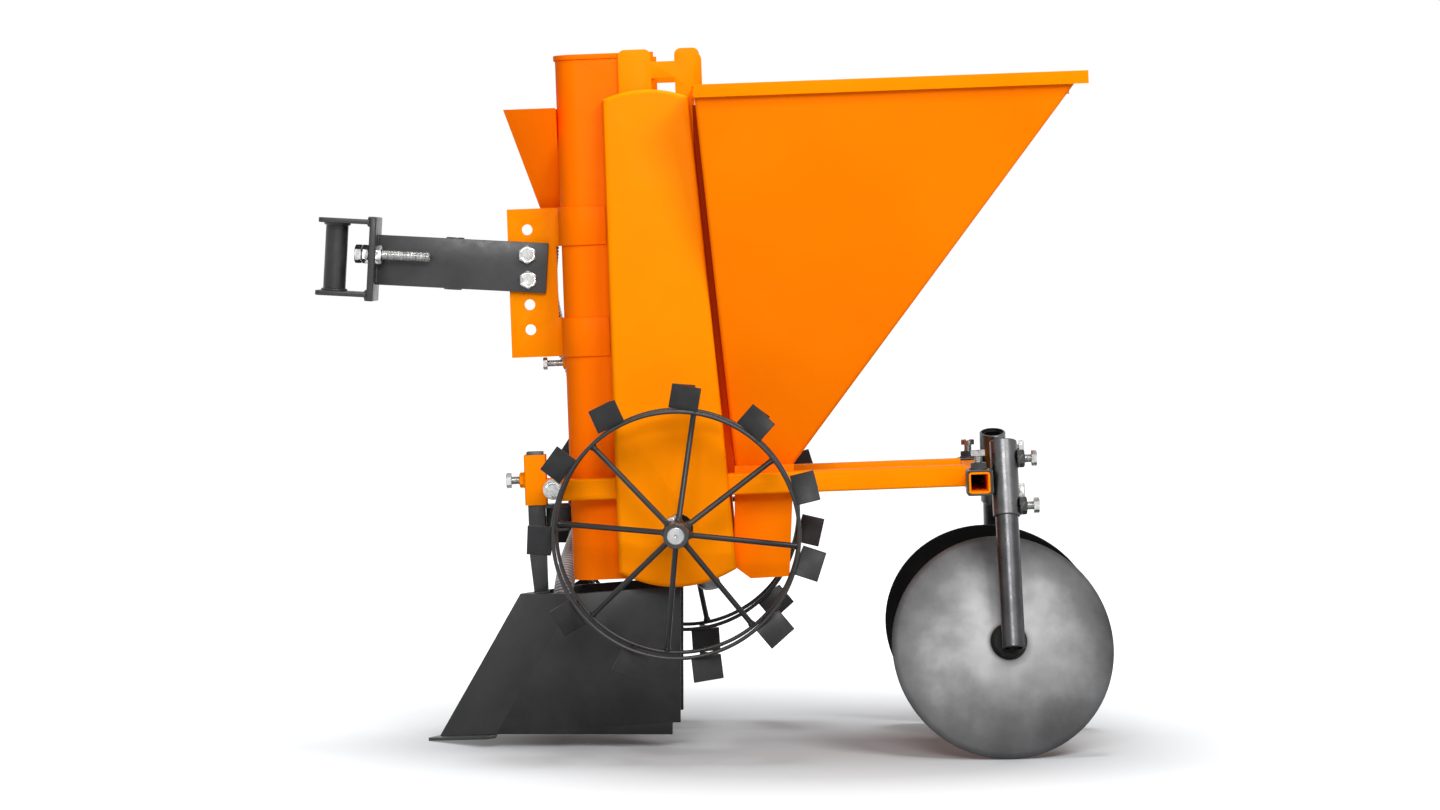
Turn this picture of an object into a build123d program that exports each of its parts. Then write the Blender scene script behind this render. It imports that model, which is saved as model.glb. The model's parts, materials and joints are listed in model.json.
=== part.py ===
from build123d import *
import math
import os

# One-row potato planter. Millimetres and degrees. The machine is drawn square to its rails, with the wheel
# axle's centre as origin, X towards the back, Y towards the right wheel and Z up, and is then set on the floor.

# Stance: the rails run nose-down by this angle, and the axle's centre is this far above the floor.
stance_tilt = 2.1
axle_height = 262.0

# Stock
sheet = 2.0
rail_size = 25.0
rail_wall = 2.5
slip = 0.05
seat_gap = 0.1

# Drop chute, and the band that stiffens its mouth
body_half = 60.0
chute_front = -129.0
chute_back = -20.0
chute_top = 563.0
chute_bottom = -60.0
chute_corner = 26.0
band_height = 6.0
band_back = -54.0

# Rails, front crossmember and rear crossbar
rail_z = 48.5
crossmember_x = -146.5
crossmember_size = 25.0
crossmember_lift = 2.0
crossbar_drop = 5.0
crossbar_x = 353.0
crossbar_size = 25.0
crossbar_half = 150.0

# Hopper
hopper_top = 516.0
hopper_bottom = 69.0
hopper_front_top = 37.0
hopper_front_bottom = 68.0
hopper_back_top = 490.0
hopper_back_bottom = 138.0
hopper_half_top = 152.0
rim_drop = 15.0
rim_overhang = 6.0
rim_gap_half = 45.0

# Boot under the hopper
boot_back_low = 128.0
boot_low = -65.0
boot_toe_x = 82.0
boot_lip_x = 63.0
boot_lip_z = -50.0
boot_floor_back_z = -18.0

# Elevator: roller chain of long pitch over two equal sprockets
chain_pitch = 25.4
sprocket_teeth = 8
strand_links = 18
roller_diameter = 7.9
roller_width = 8.0
link_height = 12.0
link_plate = 1.5
cup_radius = 27.0
cup_length = 26.0
cup_wall = 2.0
links_per_cup = 4
first_cup_link = 3
axle_diameter = 20.0
top_shaft_diameter = 16.0
casing_bottom = 45.0
casing_top = 410.0
cheek_top = 498.0
cheek_ear_front = 20.0

# Side covers
cover_front = -72.0
cover_back_top = 29.0
cover_back_bend = 55.0
cover_back_low = 66.0
cover_top = 508.0
cover_crown = 10.0
cover_bend_z = 133.0
cover_low = -50.0
cover_sag = 19.0
cover_depth_top = 20.0
cover_depth_bend = 41.0

# Tension brackets and sliding bearings of the top shaft
bracket_sheet = 4.0
bracket_bottom = 380.0
bracket_top = 566.0
bracket_front = -53.0
bracket_back = 43.5
bracket_back_low = 33.5
slot_half = 14.0
strap_low = 531.0
strap_high = 551.0
tab_z = 494.0
tab_thickness = 5.0
tab_reach = 11.0
take_up_height = 44.0
take_up_lip = 5.0

# Axle bearings under the rails
bearing_radius = 22.0
bearing_width = 22.0

# Wheels: two hoops of round bar, spokes to the right-hand hoop, lugs of angle iron across both
wheel_y = 195.0
hoop_radius = 141.5
hoop_bar = 6.0
hoop_gap = 28.0
spoke_bar = 8.0
spoke_count = 8
lug_count = 11
lug_leg = 32.0
lug_thickness = 3.5
lug_length = 28.0
lug_turn = 22.0
hub_diameter = 29.0
hub_length = 68.0
axle_stub = 2.0
wheel_phases = {"left": (83.6, 78.6), "right": (-77.4, -17.4)}

# Hitch plate and its straps
hitch_plate_front = -195.0
hitch_plate_sheet = 6.0
strap_sheet = 3.0
strap_height = 46.0
strap_back = -74.0
upper_strap_z = 360.0
lower_strap_z = 228.0
hitch_hole = 13.0
hitch_hole_pitch = 30.0
hitch_hole_count = 5
hitch_hole_x = -171.5
hitch_hole_mid_z = 298.0
window_setback = 5.0

# Drawbar and hitch head, drawn about the middle of the two drawbar bolts
drawbar_rise = 5.0
drawbar_height = 60.0
drawbar_thickness = 8.0
drawbar_rear = 23.0
head_back = -181.5
head_plate = 8.0
head_shelf = 6.0
head_front = -251.0
head_high = 47.5
head_low = -45.5
head_half = 35.0
hitch_sleeve_x = -231.5
hitch_sleeve_outer = 26.9
hitch_sleeve_bore = 20.0
stop_screw_z = 6.0
stop_screw_y = 25.0
stop_screw_length = 81.0
drawbar_sleeve_x = -90.0
drawbar_sleeve_outer = 22.0
drawbar_sleeve_bore = 16.0
drawbar_sleeve_proud = 1.5

# Opener: shank in its socket, two side plates that meet in a slanting nose, and a share underneath
shank_size = 20.0
shank_top = 87.0
socket_top = 88.0
socket_bottom = 28.0
socket_wall = 3.0
stay_height = 32.0
stay_half = 16.0
stay_wall = 4.0
opener_half = 66.0
opener_sheet = 4.0
opener_back = 1.5
opener_top_front = -85.0
opener_top_back = -70.0
opener_clearance = 16.0
opener_nose_x = -193.0
opener_nose_length = 67.0
opener_slant = 0.565
opener_notch = 9.5
opener_notch_height = 14.0
share_lead = 19.035
share_thickness = 4.0
share_overhang = 4.0
cap_front = -184.0
cap_back = -162.0

# Disc clamps on the crossbar, stand pipes and covering discs
clamp_y = 132.0
clamp_width = 34.0
clamp_wall = 2.2
clamp_fit = 0.3
clamp_tube = 32.0
clamp_tube_above = 48.0
clamp_tube_below = 42.0
clamp_bolt_above = 26.5
clamp_bolt_below = 30.0
stand_pipe = 26.8
stand_bore = 21.6
stand_lean = 17.0
stand_top_gap = 3.0
stand_below_axle = 13.0
disc_radius = 132.0
disc_sheet = 3.0
disc_sphere = 350.0
disc_toe = 9.5
disc_axle = 16.0
disc_hub_radius = 20.0
disc_hub_length = 24.0
disc_offset = 14.0
disc_hub_gap = 2.0

# Fertiliser hopper, gate and ribbed hose
feed_top = 500.0
feed_bottom = 383.0
feed_front_top = -190.0
feed_front_bottom = -156.0
feed_outlet_x = -145.5
feed_half_top = 75.0
feed_outlet_y = 30.0
feed_outlet_half = 11.0
spigot_length = 16.0
spigot_wall = 2.0
outlet_half = 13.0
outlet_height = 12.0
gate_sheet = 3.0
gate_width = 18.0
gate_length = 60.0
hose_outer = 24.0
hose_valley = 20.8
hose_bore = 18.0
hose_rib_pitch = 7.0
hose_route = [
    (-145.5, 30, 371), (-145.5, 30, 338), (-143, 58, 292), (-133, 86, 238), (-120, 101, 178), (-113, 107, 112),
    (-113, 108, 48), (-121, 103, -1), (-134, 77, -32), (-141, 43, -54), (-145, 13, -79), (-147, -3, -105),
]

# Fasteners
boss_height = 8.0
set_bolt_proud = 8.0
bolt_m8 = 8.0
bolt_m10 = 10.0
bolt_m12 = 12.0
hex_ratio = 1.6
head_ratio = 0.65
boss_ratio = 1.8
washer_ratio = 2.0
washer_thickness = 2.5

nodes = {}
stance = Pos(0, 0, axle_height) * Rot(0, -stance_tilt, 0)
level = Rot(0, stance_tilt, 0)


def block(x_low, x_high, y_low, y_high, z_low, z_high):
    """Square-edged block between six planes."""
    middle = ((x_low + x_high) / 2, (y_low + y_high) / 2, (z_low + z_high) / 2)
    return Pos(*middle) * Box(x_high - x_low, y_high - y_low, z_high - z_low)


def plate_x(points, x_low, x_high):
    """Plate with its outline in Y and Z."""
    outline = make_face(Polyline(*[(x_low, y, z) for y, z in points], close=True))
    return extrude(outline, amount=x_high - x_low, dir=(1, 0, 0))


def plate_y(points, y_low, y_high):
    """Plate with its outline in X and Z."""
    outline = make_face(Polyline(*[(x, y_low, z) for x, z in points], close=True))
    return extrude(outline, amount=y_high - y_low, dir=(0, 1, 0))


def plate_z(points, z_low, z_high):
    """Plate with its outline in X and Y."""
    outline = make_face(Polyline(*[(x, y, z_low) for x, y in points], close=True))
    return extrude(outline, amount=z_high - z_low, dir=(0, 0, 1))


def rod(start, end, diameter):
    """Round bar between two points."""
    run = Vector(*end) - Vector(*start)
    bar = Cylinder(diameter / 2, run.length, align=(Align.CENTER, Align.CENTER, Align.MIN))
    return Plane(origin=start, z_dir=run).location * bar


def pipe(start, end, outer, bore):
    """Round tube between two points."""
    return rod(start, end, outer) - rod(start, end, bore)


def hex_prism(start, towards, diameter, thickness, bore=0.0):
    """Hexagon head or nut for a thread of this diameter."""
    across_flats = hex_ratio * diameter
    prism = extrude(RegularPolygon(across_flats / 2, 6, major_radius=False), amount=thickness)
    if bore:
        prism -= Cylinder(bore / 2, 3 * thickness)
    return Plane(origin=start, z_dir=towards).location * prism


def bolt(seat, towards, diameter, length):
    """Hexagon bolt whose head sits on a face at seat, with its shank running towards."""
    inward = Vector(*towards).normalized()
    head = hex_prism(seat, -inward, diameter, head_ratio * diameter)
    return head + rod(seat, Vector(*seat) + inward * length, diameter)


def boss(seat, outwards, diameter, height):
    """Threaded boss for a set bolt, standing on a face at seat."""
    way = Vector(*outwards).normalized()
    return pipe(seat, Vector(*seat) + way * height, boss_ratio * diameter, diameter + 2 * seat_gap)


def right_and_left(shape):
    """The right-hand piece as drawn, and its mirror image on the left."""
    return {"right": shape, "left": mirror(shape, about=Plane.XZ)}


def wall_across(run, rise):
    """Width of a leaning sheet, measured level."""
    return sheet * math.hypot(run, rise) / rise


def wrap(front, back, half, corner, z_low, z_high, thickness):
    """Sheet bent round the front of the chute: two sides, two round corners and a front, open at the back."""
    def core(inset):
        body = block(front + inset, back + thickness, -half + inset, half - inset, z_low, z_high)
        upright = body.edges().filter_by(Axis.Z).sort_by(Axis.X)[:2]
        return fillet(upright, corner - inset)
    shell = core(0.0) - core(thickness)
    return shell & block(front - 1, back, -half - 1, half + 1, z_low, z_high)


# Drop chute: one sheet folded round the front, with a stiffening band round its mouth.
nodes["drop_chute"] = wrap(chute_front, chute_back, body_half, chute_corner, chute_bottom, chute_top, sheet)
band_out = sheet + seat_gap
nodes["chute_rim"] = wrap(
    chute_front - band_out, band_back, body_half + band_out, chute_corner + band_out,
    chute_top - band_height, chute_top, sheet,
)


def hopper_front(z):
    """X of the hopper's leaning front wall."""
    share = (z - hopper_bottom) / (hopper_top - hopper_bottom)
    return hopper_front_bottom + share * (hopper_front_top - hopper_front_bottom)


def boot_front(z):
    """X of the boot's leaning front edge."""
    share = (hopper_bottom - z) / (hopper_bottom - boot_lip_z)
    return hopper_front_bottom + share * (boot_lip_x - hopper_front_bottom)


# Elevator casing: a wall between the rising and the falling strand, with a cheek on each side that has an ear
# beside the hopper's front edge.
cheek = [
    (chute_back, casing_bottom),
    (chute_back, casing_top),
    (cheek_ear_front, casing_top),
    (cheek_ear_front, cheek_top),
    (hopper_front(cheek_top), cheek_top),
    (hopper_front(hopper_bottom), hopper_bottom),
    (boot_front(casing_bottom), casing_bottom),
]
inner_half = body_half - sheet
casing = block(0, sheet, -body_half, body_half, casing_bottom, casing_top)
casing += plate_y(cheek, inner_half, body_half)
casing += plate_y(cheek, -body_half, -inner_half)
nodes["elevator_casing"] = casing

# Hopper: four leaning walls from a wide mouth to the boot, with the front open for the cups.
hopper_rise = hopper_top - hopper_bottom
front_wall = wall_across(hopper_front_bottom - hopper_front_top, hopper_rise)
back_wall = wall_across(hopper_back_top - hopper_back_bottom, hopper_rise)
side_wall = wall_across(hopper_half_top - body_half, hopper_rise)


def hopper_section(z, front, back, half):
    """Level rectangle of the hopper."""
    return make_face(Polyline((front, -half, z), (back, -half, z), (back, half, z), (front, half, z), close=True))


outside = loft([
    hopper_section(hopper_bottom, hopper_front_bottom, hopper_back_bottom, body_half),
    hopper_section(hopper_top, hopper_front_top, hopper_back_top, hopper_half_top),
], ruled=True)
inside = loft([
    hopper_section(
        hopper_bottom, hopper_front_bottom + front_wall, hopper_back_bottom - back_wall, body_half - side_wall,
    ),
    hopper_section(
        hopper_top, hopper_front_top + front_wall, hopper_back_top - back_wall, hopper_half_top - side_wall,
    ),
], ruled=True)
cup_door = plate_y([
    (hopper_front_top - sheet, hopper_top + 1),
    (hopper_front_top + 2 * front_wall, hopper_top + 1),
    (hopper_front_bottom + 2 * front_wall, hopper_bottom - 1),
    (hopper_front_bottom - sheet, hopper_bottom - 1),
], -inner_half, inner_half)
nodes["hopper"] = outside - inside - cup_door

# Hopper rim: the mouth's edge turned out, and down at the sides, with a gap at the front where the cups pass over.
rim_top = hopper_top + sheet


def rim_ring(grow, z_low, z_high):
    """Level slab over the hopper's mouth, grown past its walls."""
    return block(
        hopper_front_top - min(grow, sheet), hopper_back_top + grow,
        -hopper_half_top - grow, hopper_half_top + grow, z_low, z_high,
    )


rim = rim_ring(rim_overhang, rim_top - rim_drop, rim_top)
rim -= rim_ring(rim_overhang - sheet, rim_top - rim_drop, hopper_top)
skirt_inside = hopper_half_top + rim_overhang - sheet
rim -= block(
    hopper_back_top, hopper_back_top + rim_overhang, -skirt_inside, skirt_inside, rim_top - rim_drop, hopper_top,
)
rim -= rim_ring(-2 * sheet, hopper_top, rim_top)
rim -= block(
    hopper_front_top - rim_overhang, hopper_front_top + 3 * sheet, -rim_gap_half, rim_gap_half,
    rim_top - rim_drop, rim_top,
)
rim -= block(
    hopper_front_top - rim_overhang, hopper_front_top + seat_gap, -hopper_half_top - 2 * rim_overhang,
    hopper_half_top + 2 * rim_overhang, rim_top - rim_drop, hopper_top,
)
nodes["hopper_rim"] = rim

# Boot: box under the hopper where the cups fill, with a sloping floor and an open front.
boot_side = [
    (hopper_front_bottom, hopper_bottom),
    (hopper_back_bottom, hopper_bottom),
    (boot_back_low, boot_low + 1),
    (boot_toe_x, boot_low),
    (boot_lip_x, boot_lip_z),
]


def boot_back(z):
    """X of the boot's leaning back wall."""
    share = (hopper_bottom - z) / (hopper_bottom - boot_low)
    return hopper_back_bottom + share * (boot_back_low - hopper_back_bottom)


boot_floor = [
    (hopper_back_bottom, hopper_bottom),
    (boot_back(boot_floor_back_z), boot_floor_back_z),
    (boot_toe_x, boot_low + 1),
    (boot_toe_x, boot_low + 1 + 1.5 * sheet),
    (boot_back(boot_floor_back_z) - sheet, boot_floor_back_z + sheet),
    (hopper_back_bottom - sheet, hopper_bottom),
]
boot = plate_y(boot_side, inner_half, body_half) + plate_y(boot_side, -body_half, -inner_half)
nodes["elevator_boot"] = boot + plate_y(boot_floor, -inner_half, inner_half)

# Rails and the crossbar behind them, all square tube, and the round crossmember tube across their front ends.
rail_y = body_half + rail_size / 2
rail_low = rail_z - rail_size / 2
rail_high = rail_z + rail_size / 2
rail_outside = body_half + rail_size
rail_back = crossbar_x - crossbar_size / 2
crossbar_z = rail_z - crossbar_drop
crossmember_z = rail_z + crossmember_lift
rail_front = crossmember_x + crossmember_size / 2


def square_bar(axis, middle, low, high, size):
    """Square bar along X, Y or Z; middle gives its other two coordinates in order."""
    half = size / 2
    spans = [(value - half, value + half) for value in middle]
    spans.insert("XYZ".index(axis), (low, high))
    return block(*[edge for span in spans for edge in span])


def square_tube(axis, middle, low, high, size, wall):
    """Square tube, open at both ends."""
    return square_bar(axis, middle, low, high, size) - square_bar(axis, middle, low, high, size - 2 * wall)


rail = square_tube("X", (rail_y, rail_z), rail_front, rail_back, rail_size, rail_wall)
for side, piece in right_and_left(rail).items():
    nodes[f"{side}_rail"] = piece
nodes["front_crossmember"] = pipe(
    (crossmember_x, -rail_outside, crossmember_z), (crossmember_x, rail_outside, crossmember_z),
    crossmember_size, crossmember_size - 2 * rail_wall,
)
nodes["rear_crossbar"] = square_tube(
    "Y", (crossbar_x, crossbar_z), -crossbar_half, crossbar_half, crossbar_size, rail_wall,
)

# Cross bolt through the crossmember, with a wide washer under its head and its nut.
washer_out = rail_outside + washer_thickness
cross_bolt = bolt((crossmember_x, -washer_out, crossmember_z), (0, 1, 0), bolt_m12, 2 * washer_out + bolt_m12)
cross_nut = hex_prism((crossmember_x, washer_out, crossmember_z), (0, 1, 0), bolt_m12, head_ratio * bolt_m12,
                      bolt_m12 + 2 * seat_gap)
cross_washers = [
    pipe((crossmember_x, side * rail_outside, crossmember_z), (crossmember_x, side * washer_out, crossmember_z),
         washer_ratio * bolt_m12, bolt_m12 + 2 * seat_gap)
    for side in (-1, 1)
]
nodes["front_cross_bolt"] = Compound([cross_bolt, cross_nut] + cross_washers)


cover_y_top = body_half + cover_depth_top
cover_y_bend = body_half + cover_depth_bend


def cover_y(z):
    """Y of the cover's outer face: upright below the bend, leaning in above it."""
    share = max(0.0, (z - cover_bend_z) / (cover_top + cover_crown - cover_bend_z))
    return cover_y_bend + share * (cover_y_top - cover_y_bend)


def cover_core(inset):
    """Solid of the cover's outline, up to its outer face, drawn in by a sheet's thickness."""
    front, low, high = cover_front + inset, cover_low + inset, cover_top - inset
    back_top, back_bend, back_low = cover_back_top - inset, cover_back_bend - inset, cover_back_low - inset
    y_low = body_half
    top = ThreePointArc(
        (front, y_low, high), ((front + back_top) / 2, y_low, high + cover_crown), (back_top, y_low, high),
    )
    bottom = ThreePointArc(
        (back_low, y_low, low), ((front + back_low) / 2, y_low, low - cover_sag), (front, y_low, low),
    )
    edges = [
        top,
        Line((back_top, y_low, high), (back_bend, y_low, cover_bend_z)),
        Line((back_bend, y_low, cover_bend_z), (back_low, y_low, low)),
        bottom,
        Line((front, y_low, low), (front, y_low, high)),
    ]
    tower = extrude(make_face(edges), amount=2 * cover_y_bend, dir=(0, 1, 0))
    ceiling = cover_top + 2 * cover_crown
    cellar = cover_low - 2 * cover_sag
    profile = [
        (body_half, cellar),
        (cover_y_bend - inset, cellar),
        (cover_y_bend - inset, cover_bend_z),
        (cover_y(ceiling) - inset, ceiling),
        (body_half, ceiling),
    ]
    return tower & plate_x(profile, 2 * cover_front, 2 * cover_back_low)


# Side covers: pressed trays over the elevator, notched for the rails, the brackets and the axle.
notch_gap = 1.0
cover = cover_core(0.0) - cover_core(sheet)
cover -= block(
    2 * cover_front, 2 * cover_back_low, 0, rail_outside + notch_gap, rail_low - notch_gap, rail_high + notch_gap,
)
cover -= block(
    bracket_front - notch_gap, bracket_back + notch_gap, 0, body_half + bracket_sheet + notch_gap,
    bracket_bottom - notch_gap, bracket_top,
)
cover -= rod((0, body_half, 0), (0, 2 * cover_y_bend, 0), axle_diameter + 14 * notch_gap)
for side, piece in right_and_left(cover).items():
    nodes[f"{side}_side_cover"] = piece

# Tension brackets: a portal on each side that guides the top shaft's bearing.
portal = plate_y([
    (bracket_front, bracket_bottom),
    (bracket_front, bracket_top),
    (-slot_half, bracket_top),
    (-slot_half, strap_high),
    (slot_half, strap_high),
    (slot_half, bracket_top),
    (bracket_back, bracket_top),
    (bracket_back, rim_top),
    (bracket_back_low, rim_top),
    (bracket_back_low, bracket_bottom),
    (slot_half, bracket_bottom),
    (slot_half, strap_low),
    (-slot_half, strap_low),
    (-slot_half, bracket_bottom),
], body_half, body_half + bracket_sheet)
corners = [edge for edge in portal.edges().filter_by(Axis.Y) if abs(edge.center().Z - bracket_top) < 0.01]
portal = fillet(corners, 2 * bracket_sheet)
tab_y = body_half + bracket_sheet
tension_y = tab_y + tab_reach - bolt_m8
tab = block(-slot_half - take_up_lip, slot_half + take_up_lip, tab_y, tab_y + tab_reach, tab_z, tab_z + tab_thickness)
tab -= rod((0, tension_y, tab_z), (0, tension_y, tab_z + tab_thickness), bolt_m8 + 2 * seat_gap)
for side, piece in right_and_left(portal + tab).items():
    nodes[f"{side}_tension_bracket"] = piece

# Sliding bearings of the top shaft, one in each portal, and the screws that draw them up.
centre_distance = strand_links * chain_pitch
pitch_radius = chain_pitch / 2 / math.sin(math.pi / sprocket_teeth)
lip_half = slot_half + take_up_lip
take_up_low = centre_distance - take_up_height / 2
take_up_high = centre_distance + take_up_height / 2
take_up = block(-slot_half + 3 * seat_gap, slot_half - 3 * seat_gap, tab_y - bracket_sheet - 3 * seat_gap,
                tab_y + 3 * seat_gap, take_up_low, take_up_high)
take_up += block(-lip_half, lip_half, tab_y + 3 * seat_gap, tab_y + tab_reach, take_up_low, take_up_high)
take_up += block(-lip_half, lip_half, body_half - take_up_lip, body_half - 3 * seat_gap, take_up_low, take_up_high)
take_up -= rod((0, 0, centre_distance), (0, 2 * body_half, centre_distance), top_shaft_diameter + 2 * slip)
nodes["top_bearings"] = Compound(list(right_and_left(take_up).values()))
tension_screw = bolt((0, tension_y, tab_z + tab_thickness), (0, 0, -1), bolt_m8,
                     tab_z + tab_thickness - take_up_high)
nodes["tension_screws"] = Compound(list(right_and_left(tension_screw).values()))

# Axle bearings: bushed blocks bolted under the rails.
bearing_low = rail_y - bearing_width / 2
bearing_high = rail_y + bearing_width / 2
bearing = block(-bearing_radius, bearing_radius, bearing_low, bearing_high, 0, rail_low)
bearing += rod((0, bearing_low, 0), (0, bearing_high, 0), 2 * bearing_radius)
bearing -= rod((0, bearing_low, 0), (0, bearing_high, 0), axle_diameter + 2 * slip)
nodes["axle_bearings"] = Compound(list(right_and_left(bearing).values()))


def chain_pins():
    """Pins of the chain in order: up the back strand, over the top, down the front strand, round the axle."""
    tooth_angle = 2 * math.pi / sprocket_teeth
    turn = [tooth * tooth_angle for tooth in range(1, sprocket_teeth // 2)]
    rise = [step * chain_pitch for step in range(strand_links + 1)]
    over = [(pitch_radius * math.cos(a), centre_distance + pitch_radius * math.sin(a)) for a in turn]
    under = [(-pitch_radius * math.cos(a), -pitch_radius * math.sin(a)) for a in turn]
    up = [(pitch_radius, z) for z in rise]
    down = [(-pitch_radius, centre_distance - z) for z in rise]
    return up + over + down + under


def link_frame(pin, following):
    """Frame of one link: origin at its first pin, X along its travel, Z away from the loop."""
    along = Vector(following[0] - pin[0], 0, following[1] - pin[1]).normalized()
    outward = Vector(along.Z, 0, -along.X)
    return Plane(origin=(pin[0], 0, pin[1]), x_dir=along, z_dir=outward)


def octagon_bar(plane, radius, half_width):
    """Eight-sided pin or roller across the chain."""
    across = Plane(origin=plane.origin, x_dir=plane.x_dir, z_dir=(0, 1, 0))
    return extrude(across * RegularPolygon(radius, 8), amount=half_width, both=True)


def link_plate_pair(plane, y_low):
    """The two side plates of a link, with eight-sided ends."""
    half = link_height / 2
    flat = half * math.tan(math.pi / 8)
    end = chain_pitch
    points = [
        (-half, -flat), (-flat, -half), (end + flat, -half), (end + half, -flat),
        (end + half, flat), (end + flat, half), (-flat, half), (-half, flat),
    ]
    outline = make_face(Polyline(*[plane.from_local_coords((x, 0, z)) for x, z in points], close=True))
    right = extrude(Pos(0, y_low, 0) * outline, amount=link_plate, dir=(0, 1, 0))
    left = extrude(Pos(0, -y_low, 0) * outline, amount=link_plate, dir=(0, -1, 0))
    return [right, left]


# Elevator chain: rollers on pins, with inner and outer side plates by turns.
pins = chain_pins()
frames = [link_frame(pin, pins[(index + 1) % len(pins)]) for index, pin in enumerate(pins)]
inner_plate = roller_width / 2
outer_plate = inner_plate + link_plate + 2 * seat_gap
chain = Part()
chain_pieces = []
for index, frame in enumerate(frames):
    chain_pieces += link_plate_pair(frame, outer_plate if index % 2 else inner_plate)
    chain_pieces.append(octagon_bar(frame, roller_diameter / 2, inner_plate))
    chain_pieces.append(octagon_bar(frame, roller_diameter / 3, outer_plate + link_plate))
nodes["elevator_chain"] = chain + chain_pieces

# Elevator cups: pressed bowls on straps, whose ears are riveted to every fourth link, open in the direction
# of travel.
strap_low_z = link_height / 2 / math.cos(math.pi / 8) + seat_gap
strap_high_z = strap_low_z + cup_wall
cup_middle = strap_high_z + cup_radius * math.cos(math.pi / 10) - cup_wall / 2
ear_y = outer_plate + link_plate + seat_gap


def cup_section(x, radius):
    """Ten-sided section across a cup."""
    return Plane(origin=(x, 0, cup_middle), x_dir=(0, 1, 0), z_dir=(1, 0, 0)) * RegularPolygon(radius, 10)


cup_mouth = cup_length / 2
cup = loft([
    cup_section(-cup_mouth, 0.5 * cup_radius),
    cup_section(-cup_length / 6, 0.9 * cup_radius),
    cup_section(cup_mouth, cup_radius),
], ruled=True)
cup += block(-cup_mouth, cup_mouth, -link_height, link_height, strap_low_z, strap_high_z)
for ear in (block(-link_height / 2, link_height / 2, ear_y, ear_y + cup_wall, -cup_wall, strap_high_z),
            block(-link_height / 2, link_height / 2, -ear_y - cup_wall, -ear_y, -cup_wall, strap_high_z)):
    cup += ear
cup -= loft([
    cup_section(-cup_mouth + cup_wall, 0.5 * cup_radius - cup_wall / 2),
    cup_section(-cup_length / 6, 0.9 * cup_radius - cup_wall),
    cup_section(cup_mouth, cup_radius - cup_wall),
], ruled=True)
nodes["elevator_cups"] = Compound([
    frame.location * Pos(chain_pitch / 2, 0, 0) * cup for frame in frames[first_cup_link::links_per_cup]
])


def sprocket(shaft_diameter, z):
    """Sprocket with roller seats, and a hub on its right-hand side."""
    thickness = roller_width - 10 * seat_gap
    seat = roller_diameter / 2 + 2 * slip
    blank = rod((0, -thickness / 2, z), (0, thickness / 2, z), 2 * pitch_radius + roller_diameter * 0.8)
    for tooth in range(sprocket_teeth):
        angle = 2 * math.pi * tooth / sprocket_teeth
        x, rise = pitch_radius * math.cos(angle), z + pitch_radius * math.sin(angle)
        blank -= rod((x, -thickness, rise), (x, thickness, rise), 2 * seat)
    blank += rod((0, 0, z), (0, shaft_diameter * 1.4, z), shaft_diameter * 1.9)
    return blank - rod((0, -thickness, z), (0, shaft_diameter * 2, z), shaft_diameter + 2 * seat_gap)


# Wheel axle with the driving sprocket, and the top shaft with an equal one.
axle_half = wheel_y + hub_length / 2 + axle_stub
nodes["wheel_axle"] = rod((0, -axle_half, 0), (0, axle_half, 0), axle_diameter)
nodes["lower_sprocket"] = sprocket(axle_diameter, 0.0)
top_half = tab_y + tab_reach
nodes["top_shaft"] = rod((0, -top_half, centre_distance), (0, top_half, centre_distance), top_shaft_diameter)
nodes["top_sprocket"] = sprocket(top_shaft_diameter, centre_distance)


def around(angle, radius, y):
    """Point on a circle round the axle; the angle runs from the back up over the top."""
    turn = math.radians(angle)
    return Vector(radius * math.cos(turn), y, radius * math.sin(turn))


def lug(angle, ridge_y):
    """Piece of angle iron standing on the hoops, its ridge to the left and its legs turned off the wheel."""
    base = hoop_radius + hoop_bar / 2 + seat_gap
    radial = around(angle, 1.0, 0.0)
    tangent = around(angle + 90, 1.0, 0.0)
    turn = math.radians(lug_turn)
    wide = Vector(math.cos(turn), -math.sin(turn))
    narrow = Vector(-math.sin(turn), -math.cos(turn))
    corners = [
        Vector(0, 0), wide * lug_leg, wide * lug_leg + narrow * lug_thickness,
        wide * lug_thickness + narrow * lug_thickness, narrow * lug_leg + wide * lug_thickness, narrow * lug_leg,
    ]
    section = make_face(Polyline(*corners, close=True))
    foot = Plane(origin=around(angle, base, ridge_y), x_dir=tangent, z_dir=radial)
    return foot.location * extrude(section, amount=lug_length)


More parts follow.
